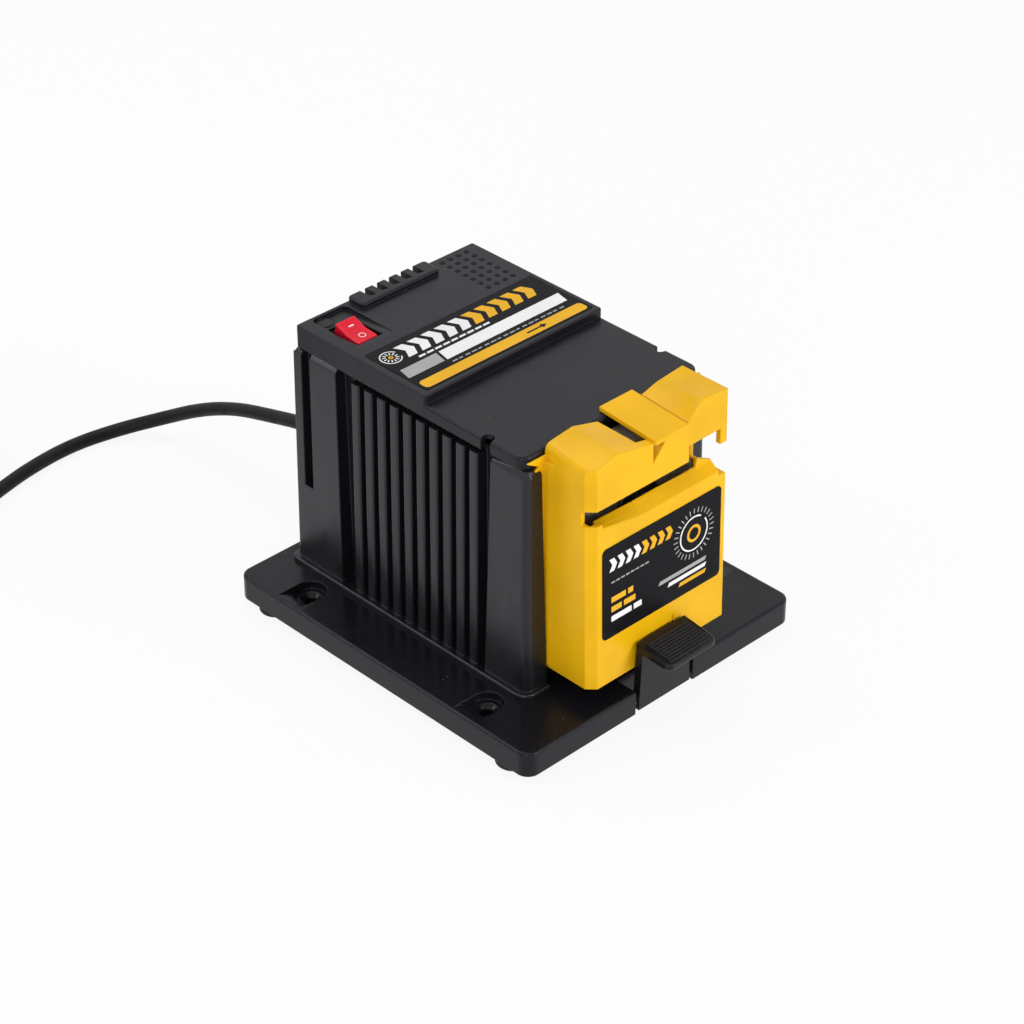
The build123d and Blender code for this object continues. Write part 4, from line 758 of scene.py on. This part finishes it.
# ---- mains lead ----
LEAD_EXIT = (-0.0100, 0.1265, 0.0485)
LEAD_ROUTE = [
    LEAD_EXIT, (-0.0100, 0.1415, 0.0485), (-0.0100, 0.1685, 0.0410),
    (-0.0105, 0.1955, 0.0336), (-0.0130, 0.2215, 0.0226), (-0.0200, 0.2445, 0.0100),
    (-0.0380, 0.2605, 0.0036), (-0.0640, 0.2650, 0.0036), (-0.0920, 0.2625, 0.0036),
    (-0.1180, 0.2560, 0.0036), (-0.1330, 0.2517, 0.0036),
]
COIL_CENTRE = (-0.150, 0.3005)
COIL_FLOOR = 0.0036
COIL_START = -95.0       # degrees, where the lead meets the coil
FLOOR_TURNS = 3
WHOLE_TURNS = 5
LAST_STRETCH = 90.0      # degrees of the last turn before the lead leaves for the plug
# the part of a turn in which the lead moves in, climbs on the layer below, or moves out
MOVES_IN, CLIMBS, MOVES_OUT = (0.70, 1.0), (0.40, 0.70), (0.30, 0.60)
# the way from the coil up to the plug's nose, from the coil's centre
LEAD_TO_PLUG = [
    (-0.0465, 0.0124, 0.0110), (-0.0441, 0.0202, 0.0129), (-0.0399, 0.0268, 0.0155),
    (-0.0339, 0.0318, 0.0179), (-0.0268, 0.0350, 0.0197), (-0.0189, 0.0362, 0.0208),
    (-0.0149, 0.0359, 0.0208),
]
TIE_ANGLE = 225.0        # degrees about the coil's centre
TIE_WIDTH = 10.0 * MM
TIE_THICK = 0.7 * MM
TIE_GAP = 0.05 * MM
TIE_TUCK = 52.0          # degrees that the tie's ends reach round the lowest turns
TIE_STEPS = 8            # steps across the tie and round each of its bends
FLAP_THICK = 0.5 * MM
FLAP_SHORT = (1.5 * MM, 1.0 * MM)   # where it ends inside the inner and the outer turn


def eased(value, start, end):
    """Rises smoothly from nothing at the start to one at the end."""
    t = min(1.0, max(0.0, (value - start) / (end - start)))
    return t * t * (3.0 - 2.0 * t)


def coil_place(radius, angle, height):
    """A point about the coil's centre."""
    x, y = COIL_CENTRE
    return x + radius * math.cos(angle), y + radius * math.sin(angle), height


def coil_points(lead):
    """Centre points of the wound turns: some on the floor, then the rest on top of them.

    A turn moves in or out by one pitch, or climbs, over a short part of its way, and those
    parts lie apart, so no turn runs into its neighbour.
    """
    pitch, steps = lead.pitch, lead.steps
    # control points of a round spline lie a little outside it
    reach = 1.0 / math.cos(math.pi / steps)
    points = []
    for i in range(round(steps * (WHOLE_TURNS + LAST_STRETCH / 360.0)) + 1):
        turn, part = divmod(i / steps, 1.0)
        on_floor = turn < FLOOR_TURNS
        radius = lead.inner + pitch * (FLOOR_TURNS - 1 - turn if on_floor else turn - FLOOR_TURNS)
        height = COIL_FLOOR if on_floor else COIL_FLOOR + pitch
        if turn < FLOOR_TURNS - 1:
            radius -= pitch * eased(part, *MOVES_IN)
        elif on_floor:
            height += pitch * eased(part, *CLIMBS)
        elif turn < WHOLE_TURNS:
            radius += pitch * eased(part, *MOVES_OUT)
        angle = math.radians(COIL_START - 360.0 * i / steps)
        points.append(coil_place(radius * reach, angle, height))
    return points


def strap_outline(lead):
    """Radius and height of a strap round the coil's section, with its ends tucked under."""
    low, high = COIL_FLOOR, COIL_FLOOR + lead.pitch
    near, far = lead.inner, lead.inner + (FLOOR_TURNS - 1) * lead.pitch
    bends = [
        (near, low, 180.0 + TIE_TUCK, 180.0), (near, high, 180.0, 90.0),
        (far, high, 90.0, 0.0), (far, low, 0.0, -TIE_TUCK),
    ]
    snug = lead.diameter / 2 + TIE_GAP
    inside, outside = (
        [spot for x, z, start, end in bends for spot in arc(x, z, reach, start, end, TIE_STEPS)]
        for reach in (snug, snug + TIE_THICK)
    )
    return inside + outside[::-1]


def flap_outline(lead):
    """Radius and height of the strap's end, which lies on its own top."""
    floor = COIL_FLOOR + lead.pitch + lead.diameter / 2 + TIE_THICK
    near = lead.inner + FLAP_SHORT[0]
    far = lead.inner + (FLOOR_TURNS - 1) * lead.pitch - FLAP_SHORT[1]
    top = floor + FLAP_THICK
    return [(near, floor), (far, floor), (far, top), (near + FLAP_THICK, top)]


def wound_band(outline):
    """Rows of an outline of radius and height, carried across the tie's width."""
    mean = sum(r for r, z in outline) / len(outline)
    middle, wide = math.radians(TIE_ANGLE), TIE_WIDTH / mean
    angles = [middle + (i / TIE_STEPS - 0.5) * wide for i in range(TIE_STEPS + 1)]
    return [[coil_place(r, angle, z) for r, z in outline] for angle in angles]


def lead_curve(lead):
    """The lead as one smooth open spline from the strain relief to the plug."""
    points = LEAD_ROUTE + coil_points(lead)
    points += [(COIL_CENTRE[0] + x, COIL_CENTRE[1] + y, z) for x, y, z in LEAD_TO_PLUG]
    curve = bpy.data.curves.new("mains_lead", "CURVE")
    curve.dimensions = "3D"
    spline = curve.splines.new("NURBS")
    spline.points.add(len(points) - 1)
    for spot, point in zip(spline.points, points):
        spot.co = (*point, 1.0)
    spline.order_u = 3
    spline.use_endpoint_u = True
    curve.resolution_u = 6
    curve.bevel_depth = lead.diameter / 2
    curve.bevel_resolution = 5
    curve.use_fill_caps = True
    return curve


class SHARPENER_OT_mains_lead(bpy.types.Operator):
    """Lays the mains lead with its coil, tie, strain relief and plug"""

    bl_idname = "sharpener.mains_lead"
    bl_label = "Mains Lead"

    def execute(self, context):
        lead = context.scene.sharpener_cord
        curve = lead_curve(lead)
        cable = put("mains_lead", curve)
        curve.materials.append(finish("cord_pvc"))
        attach(cable, "base")
        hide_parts("cord_tube", "cord_coil")
        boot = softened("strain_relief_boot", "strain_relief", 0.3 * MM)
        strap = smoothed(skinned([
            (wound_band(strap_outline(lead)), 0), (wound_band(flap_outline(lead)), 0),
        ]), 40.0)
        tie = place_piece("coil_tie", strap, "base", ["tie_black"], ["cord_tie"])
        plug = softened("mains_plug", "plug_body", 0.5 * MM)
        pins = softened("mains_plug_pins", "plug_pins", 0.3 * MM)
        return {"FINISHED"}


# ---- mouldings ----
class SHARPENER_OT_base(bpy.types.Operator):
    """Base plate with its rubber feet and the screws underneath"""

    bl_idname = "sharpener.base"
    bl_label = "Base Plate"

    def execute(self, context):
        look = context.scene.sharpener_finish
        softened("base_moulding", "base_plate", look.edge, room=0.6 * MM)
        softened("rubber_foot_pads", "rubber_feet", look.edge)
        softened("base_plate_screws", "base_screws", look.screw_edge)
        softened("motor_bracket_screws", "bracket_screws", look.screw_edge)
        return {"FINISHED"}


class SHARPENER_OT_housing(bpy.types.Operator):
    """Ribbed motor housing"""

    bl_idname = "sharpener.housing"
    bl_label = "Motor Housing"

    def execute(self, context):
        look = context.scene.sharpener_finish
        softened("ribbed_housing", "housing_body", look.edge, room=1.0 * MM)
        return {"FINISHED"}


class SHARPENER_OT_cover(bpy.types.Operator):
    """Top cover with its vent hood, dimples and screws"""

    bl_idname = "sharpener.cover"
    bl_label = "Top Cover"

    def execute(self, context):
        look = context.scene.sharpener_finish
        softened("two_deck_cover", "top_cover", look.edge, room=0.55 * MM)
        softened("cover_fixing_screws", "cover_screws", look.screw_edge)
        return {"FINISHED"}


# ---- prints ----
INKS = ["label_film", "ink_white", "ink_yellow", "ink_grey"]
FILM, WHITE, YELLOW, GREY = range(len(INKS))
TO_METRES = Matrix.Scale(MM, 4)
PRINT_SINK = 0.01 * MM   # a print reaches this far into its plate
NARROW_FACE = 1e-3       # square metres; smaller faces of the guide plate are its rim


class Print:
    """A flat print, drawn in millimetres from its plate's lower left corner."""

    def __init__(self, thickness):
        self.thickness = thickness / MM
        self.meshes, self.skins = [], []

    def shape(self, ink, outline, layer=0):
        floor = layer * self.thickness
        self.skins.append((prism(outline, floor, floor + self.thickness), ink))

    def bar(self, ink, *sizes):
        self.shape(ink, bar(*sizes))

    def grow(self, ink, x, y, tree, **values):
        mesh = grown(tree, Thickness=self.thickness, Material=finish(INKS[ink]), **values)
        mesh.transform(Matrix.Translation((x, y, self.thickness / 2)))
        for face in mesh.polygons:
            face.material_index = ink
        self.meshes.append(mesh)

    def finished(self):
        """The whole print as a mesh in metres."""
        whole = joined([*self.meshes, skinned(self.skins)])
        whole.transform(TO_METRES)
        return whole


def top_print(labels):
    """Print on the top plate."""
    low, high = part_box("top_label")
    wide, deep = (high.x - low.x) / MM, (high.y - low.y) / MM
    art = Print(labels.ink)
    count, left, pitch, middle = labels.chevrons, 18.6, 8.2, deep - 9.4
    row = chevron_row_tree()
    for ink, start in ((WHITE, left), (YELLOW, left + count * pitch)):
        art.grow(
            ink, start, middle, row, Count=count, Pitch=pitch, Width=5.2,
            Height=labels.chevron_height / MM, Bend=0.5,
        )
    # sign of the wheel
    art.grow(WHITE, 7.2, middle, tick_ring_tree(), Count=12, Radius=3.1, Length=1.7, Width=0.62)
    art.shape(WHITE, ring_sector(7.2, middle, 4.7, 5.3, 25.0, 335.0, 40))
    art.shape(YELLOW, ring_sector(7.2, middle, 0.5, 1.2, 0.0, 359.9, 24))
    # a plain stripe in two lengths and a yellow one with round ends
    split = wide * 0.22
    art.bar(GREY, 1.2, 12.6, split - 1.2, 7.6, 1.6)
    art.bar(WHITE, split + 1.6, 12.6, wide - split - 5.8, 7.6, 1.6)
    art.shape(YELLOW, round_rectangle(1.4, wide - 1.6, 1.0, 7.4, 2.2))
    # arrow for the way the wheel turns, on the yellow stripe
    x, y = wide * 0.72, 4.2
    art.shape(FILM, [
        (x - 9.0, y - 0.5), (x, y - 0.5), (x, y - 1.7), (x + 3.2, y), (x, y + 1.7), (x, y + 0.5),
        (x - 9.0, y + 0.5),
    ], layer=1)
    # thin dashes under the chevrons and between the stripes
    for i in range(9):
        art.bar(WHITE, left - 2.0 + i * 4.9, 22.3, 3.9, 1.3, 0.3)
    for i in range(18):
        art.bar(GREY, wide * 0.24 + i * 3.9, 9.3, (3.1, 2.2, 2.8)[i % 3], 0.8)
    return art.finished()


def front_print(labels):
    """Print on the guide head's plate."""
    low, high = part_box("guide_label")
    wide, tall = (high.x - low.x) / MM, (high.z - low.z) / MM
    art = Print(labels.ink)
    # sign of the wheel
    x, y = wide - 17.5, tall - 17.5
    art.grow(
        GREY, x, y, tick_ring_tree(), Count=labels.ticks, Radius=11.6, Length=2.6, Width=0.55,
    )
    art.shape(WHITE, ring_sector(x, y, 8.2, 9.0, 60.0, 395.0, 48))
    art.shape(YELLOW, ring_sector(x, y, 3.0, 4.4, 0.0, 359.9, 32))
    row = chevron_row_tree()
    for ink, start in ((WHITE, 7.4), (YELLOW, 27.4)):
        art.grow(
            ink, start, tall - 9.6, row, Count=4, Pitch=5.0, Width=3.0, Height=6.6, Bend=0.55,
        )
    # slanted stripes under the wheel sign
    for i, (ink, length) in enumerate(((GREY, 30.0), (WHITE, 24.0), (YELLOW, 17.0))):
        art.bar(ink, wide - 10.0 - length, 12.4 - 3.4 * i, length, 2.0, 1.0)
    # short bars and dashes at the left
    for ink, y, *spans in (
        (YELLOW, 18.2, (0.0, 9.0), (10.4, 13.6)), (YELLOW, 13.2, (0.0, 6.4), (7.8, 15.0)),
        (WHITE, 8.2, (0.0, 12.6), (14.0, 19.0)),
    ):
        for start, end in spans:
            art.bar(ink, 5.4 + start, y, end - start, 2.9)
    for i in range(8):
        art.bar(GREY, 5.4 + i * 3.0, 28.4, 2.3, 0.8)
    return art.finished()


class SHARPENER_OT_labels(bpy.types.Operator):
    """Printed plates on the cover and on the guide head"""

    bl_idname = "sharpener.labels"
    bl_label = "Printed Plates"

    def execute(self, context):
        labels = context.scene.sharpener_labels
        softened("top_plate", "top_label", 0.1 * MM)
        softened("guide_plate", "guide_label", 0.1 * MM)
        low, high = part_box("top_label")
        art = top_print(labels)
        art.transform(Matrix.Translation((low.x, low.y, high.z - PRINT_SINK)))
        place_piece("top_plate_print", art, "base", INKS)
        # the guide plate leans with the front of the guide head
        low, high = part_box("guide_label")
        plate = merged_copy("guide_label")
        broad = [face for face in plate.polygons if face.area >= NARROW_FACE]
        front = min(broad, key=lambda face: face.normal.y)
        normal = front.normal.normalized()
        up = Vector((0.0, 0.0, 1.0))
        up = (up - normal * up.dot(normal)).normalized()
        right = up.cross(normal).normalized()
        corner = min((plate.vertices[v].co for v in front.vertices), key=lambda c: c.z)
        start = Vector((low.x, corner.y, corner.z)) - normal * PRINT_SINK
        bpy.data.meshes.remove(plate)
        art = front_print(labels)
        art.transform(facing(right, up, normal, start))
        place_piece("guide_plate_print", art, "head", INKS)
        return {"FINISHED"}


# ---- switch ----
MARK_DEPTH = 0.04        # mm above and below the rocker's flats
LOOKS_UP = 0.8           # least upward share of a flat's normal


def rocker_marks():
    """I bar and O ring, which lie on the two flats of the rocker."""
    mesh = merged_copy("switch_rocker")
    flats = [face for face in mesh.polygons if face.normal.z > LOOKS_UP]
    flats = sorted(flats, key=lambda face: face.area)[-2:]
    front, rear = sorted(flats, key=lambda face: face.center.y)
    right = Vector((1.0, 0.0, 0.0))
    marks = []
    for flat, outline in (
        (rear, bar(-1.5, -0.32, 3.0, 0.64)),
        (front, ring_sector(0.0, 0.0, 1.35, 1.75, 0.0, 359.9, 40)),
    ):
        normal = flat.normal.normalized()
        along = normal.cross(right).normalized()
        mark = skinned([(prism(outline, -MARK_DEPTH, MARK_DEPTH), 0)])
        mark.transform(facing(right, along, normal, flat.center) @ TO_METRES)
        marks.append(mark)
    bpy.data.meshes.remove(mesh)
    return joined(marks)


class SHARPENER_OT_switch(bpy.types.Operator):
    """Rocker switch and its case"""

    bl_idname = "sharpener.switch"
    bl_label = "Rocker Switch"

    def execute(self, context):
        look = context.scene.sharpener_finish
        softened("switch_case", "switch_body", look.fine_edge)
        softened("switch_rocker_cap", "switch_rocker", look.fine_edge)
        place_piece("switch_marks", rocker_marks(), "rocker", ["ink_white"])
        return {"FINISHED"}


# ---- guide head, catch ----
# heights of the scissors ledge at its lip and at its back, by place along X, in mm
LEDGE_LIP = ((-35.0, 108.3), (-11.8, 104.3), (4.8, 104.3))
LEDGE_REAR = ((-35.0, 109.3), (-11.8, 108.7), (4.8, 108.7))
LEDGE_LIP_Y, LEDGE_REAR_Y = -82.64, -76.5
LEDGE_FLOOR = 101.5
LEDGE_OVER = 0.03        # lies over the rounded edge of the moulding in front of it
LEDGE_STEPS = 8


def height_at(x, table):
    """Height at a place along X, from a table of straight runs."""
    for (x0, z0), (x1, z1) in zip(table, table[1:]):
        if x <= x1:
            return z0 + (z1 - z0) * (x - x0) / (x1 - x0)
    return table[-1][1]


def ledge_filling(x0, x1, y0):
    """Rows of the scissors ledge's rear part, from a depth in the moulding to its back."""
    rows = []
    for i in range(LEDGE_STEPS + 1):
        x = x0 + (x1 - x0) * i / LEDGE_STEPS
        lip, rear = height_at(x, LEDGE_LIP), height_at(x, LEDGE_REAR)
        front = lip + (rear - lip) * (y0 - LEDGE_LIP_Y) / (LEDGE_REAR_Y - LEDGE_LIP_Y)
        rows.append([(x, y, z) for y, z in (
            (y0, LEDGE_FLOOR), (LEDGE_REAR_Y, LEDGE_FLOOR), (LEDGE_REAR_Y, rear + LEDGE_OVER),
            (y0, front + LEDGE_OVER),
        )])
    return rows


class SHARPENER_OT_guide_head(bpy.types.Operator):
    """Lift-off guide head"""

    bl_idname = "sharpener.guide_head"
    bl_label = "Guide Head"

    def execute(self, context):
        look = context.scene.sharpener_finish
        softened("guide_moulding", "guide_head", look.edge, room=0.55 * MM)
        ledge = skinned([
            (ledge_filling(-35.0, -12.0, -80.3), 0), (ledge_filling(-11.2, 4.8, -78.3), 0),
        ])
        ledge.transform(TO_METRES)
        place_piece("scissors_ledge", ledge, "head", ["guide_yellow"])
        return {"FINISHED"}


class SHARPENER_OT_catch(bpy.types.Operator):
    """Catch lever with its pin and spring"""

    bl_idname = "sharpener.catch"
    bl_label = "Catch"

    def execute(self, context):
        look = context.scene.sharpener_finish
        softened("catch_moulding", "catch_lever", look.fine_edge, room=0.3 * MM)
        softened("catch_hinge_pin", "catch_pin", look.fine_edge)
        softened("catch_return_spring", "catch_spring", 0.05 * MM)
        return {"FINISHED"}


# ---- wheel, motor ----
class SHARPENER_OT_wheel(bpy.types.Operator):
    """Grinding wheel with loose grains on its skin, its flanges and its nut"""

    bl_idname = "sharpener.wheel"
    bl_label = "Grinding Wheel"

    def execute(self, context):
        softened("abrasive_wheel", "grinding_wheel", 0.6 * MM)
        grit = grown(
            grain_tree(), merged_copy("grinding_wheel"), Density=160000.0, Radius=0.13 * MM,
            Seed=7, Material=finish("abrasive_grey"),
        )
        place_piece("wheel_grit", grit, "spindle", ["abrasive_grey"])
        softened("wheel_clamp_flanges", "wheel_flanges", 0.3 * MM)
        softened("wheel_lock_nut", "wheel_nut", 0.25 * MM)
        return {"FINISHED"}


# name, node and edge radius in mm
MOTOR_PIECES = [
    ("drive_shaft", "motor_shaft", 0.3), ("rotor_stack", "rotor_core", 0.1),
    ("rotor_coils", "rotor_windings", 0.8), ("commutator_bars", "commutator", 0.1),
    ("fan_wheel", "cooling_fan", 0.2), ("stator_stack", "stator_core", 0.2),
    ("stator_coils", "field_coils", 0.6), ("front_ball_bearing", "front_bearing", 0.3),
    ("rear_ball_bearing", "rear_bearing", 0.3), ("front_bearing_bracket", "front_bracket", 0.4),
    ("rear_bearing_bracket", "rear_bracket", 0.4), ("motor_through_bolts", "motor_bolts", 0.15),
    ("brush_tubes", "brush_holders", 0.15), ("motor_brushes", "carbon_brushes", 0.15),
    ("brush_pressure_springs", "brush_springs", 0.05), ("lead_clamp_bar", "cord_clamp", 0.3),
]


class SHARPENER_OT_motor(bpy.types.Operator):
    """Motor, bearings, brackets and the lead's clamp inside the housing"""

    bl_idname = "sharpener.motor"
    bl_label = "Motor"

    def execute(self, context):
        for name, node, edge in MOTOR_PIECES:
            softened(name, node, edge * MM)
        return {"FINISHED"}


# ---- stage ----
CAMERA_PLACE = (-0.81015, -0.82735, 0.84143)
CAMERA_TURN = (-44.0766, 33.9886, -0.1007)   # azimuth, elevation and roll in degrees
LAMP_AIM = (0.0, 0.0, 0.07)
LAMPS = {
    # place and diameter
    "key": ((0.6, -1.75, 0.75), 0.8),
    "fill": ((-1.45, -0.95, 0.7), 0.9),
    "top": ((0.15, 0.6, 1.7), 1.2),
    "rim": ((-1.15, 1.15, 1.1), 0.45),
}
FLOOR_HALF = 4.0
FLOOR_TOP, FLOOR_UNDERSIDE = -0.0002, -0.02
FLOOR_WHITE = 0.9        # how much of the floor is plain white to the eye


def camera_matrix():
    """The camera looks back along its azimuth and elevation, a little rolled."""
    azimuth, elevation, roll = (math.radians(a) for a in CAMERA_TURN)
    back = Vector((
        math.sin(azimuth) * math.cos(elevation), -math.cos(azimuth) * math.cos(elevation),
        math.sin(elevation),
    ))
    right = (-back).cross(Vector((0.0, 0.0, 1.0))).normalized()
    up = right.cross(-back)
    turned = math.cos(roll) * right + math.sin(roll) * up
    raised = -math.sin(roll) * right + math.cos(roll) * up
    return facing(turned, raised, back, CAMERA_PLACE)


def area_lamp(name, place, size, power):
    lamp = bpy.data.lights.new(name, "AREA")
    lamp.shape = "DISK"
    lamp.size = size
    lamp.energy = power
    holder = put(name, lamp)
    holder.location = place
    aim = Vector(LAMP_AIM) - Vector(place)
    holder.rotation_euler = aim.to_track_quat("-Z", "Y").to_euler()


def studio_world(ambient):
    """White to the eye, an even soft light on the object."""
    world = bpy.data.worlds.new("studio")
    world.use_nodes = True
    tree = Tree(world.node_tree)
    glow = tree.nodes["Background"]
    glow.inputs["Color"].default_value = (1.0, 1.0, 1.0, 1.0)
    glow.inputs["Strength"].default_value = ambient
    seen = tree.node("ShaderNodeBackground", {"Color": (1.0, 1.0, 1.0), "Strength": 1.0})
    tree.show(seen, glow.outputs[0], 1.0, "World Output")
    bpy.context.scene.world = world


def studio_floor(colour):
    """A wide pale floor that fades into the white backdrop and keeps a faint shadow."""
    square = bar(-FLOOR_HALF, -FLOOR_HALF, 2 * FLOOR_HALF, 2 * FLOOR_HALF)
    mesh = skinned([(prism(square, FLOOR_UNDERSIDE, FLOOR_TOP), 0)])
    floor = put("studio_floor", mesh)
    made = Finish("studio_floor", colour, 0.9, specular=0.1)
    made.rough(made.remap(made.noise(40.0, 3.0), 0.3, 0.7, 0.85, 0.95))
    glow = made.node("ShaderNodeEmission", {"Strength": 1.0})
    made.show(glow, made.shader.outputs[0], FLOOR_WHITE, "Material Output")
    mesh.materials.append(made.material)


class SHARPENER_OT_stage(bpy.types.Operator):
    """Camera, floor, backdrop and lamps"""

    bl_idname = "sharpener.stage"
    bl_label = "Stage"

    def execute(self, context):
        scene, stage = context.scene, context.scene.sharpener_stage
        lens = bpy.data.cameras.new("camera")
        lens.lens = stage.lens
        lens.sensor_width = 36.0
        lens.clip_start, lens.clip_end = 0.05, 20.0
        camera = put("camera", lens)
        camera.matrix_world = camera_matrix()
        scene.camera = camera
        scene.view_settings.view_transform = "Standard"
        studio_world(stage.ambient)
        studio_floor(stage.floor)
        for name, (place, size) in LAMPS.items():
            area_lamp(name + "_lamp", place, size, getattr(stage, name))
        return {"FINISHED"}


# ---- panel and run ----
GROUPS = {
    "sharpener_finish": SharpenerFinish, "sharpener_labels": SharpenerLabels,
    "sharpener_cord": SharpenerCord, "sharpener_stage": SharpenerStage,
}
OPERATORS = [
    SHARPENER_OT_stage, SHARPENER_OT_mains_lead, SHARPENER_OT_base, SHARPENER_OT_housing,
    SHARPENER_OT_cover, SHARPENER_OT_labels, SHARPENER_OT_switch, SHARPENER_OT_guide_head,
    SHARPENER_OT_catch, SHARPENER_OT_wheel, SHARPENER_OT_motor,
]


class SHARPENER_PT_sidebar(bpy.types.Panel):
    """Pieces and sizes of the knife sharpener"""

    bl_idname = "SHARPENER_PT_sidebar"
    bl_label = "Knife Sharpener"
    bl_space_type = "VIEW_3D"
    bl_region_type = "UI"
    bl_category = "Sharpener"

    def draw(self, context):
        for group, kind in GROUPS.items():
            box = self.layout.box()
            box.label(text=kind.__doc__)
            for name in kind.__annotations__:
                box.prop(getattr(context.scene, group), name)
        for operator in OPERATORS:
            self.layout.operator(operator.bl_idname)


def register():
    for kind in [*GROUPS.values(), *OPERATORS, SHARPENER_PT_sidebar]:
        bpy.utils.register_class(kind)
    for name, kind in GROUPS.items():
        setattr(bpy.types.Scene, name, PointerProperty(type=kind))


def unregister():
    for name in GROUPS:
        delattr(bpy.types.Scene, name)
    for kind in reversed([*GROUPS.values(), *OPERATORS, SHARPENER_PT_sidebar]):
        bpy.utils.unregister_class(kind)


def main():
    register()
    make_finishes(bpy.context.scene)
    for operator in OPERATORS:
        group, name = operator.bl_idname.split(".")
        getattr(getattr(bpy.ops, group), name)()


if __name__ == "__main__":
    main()
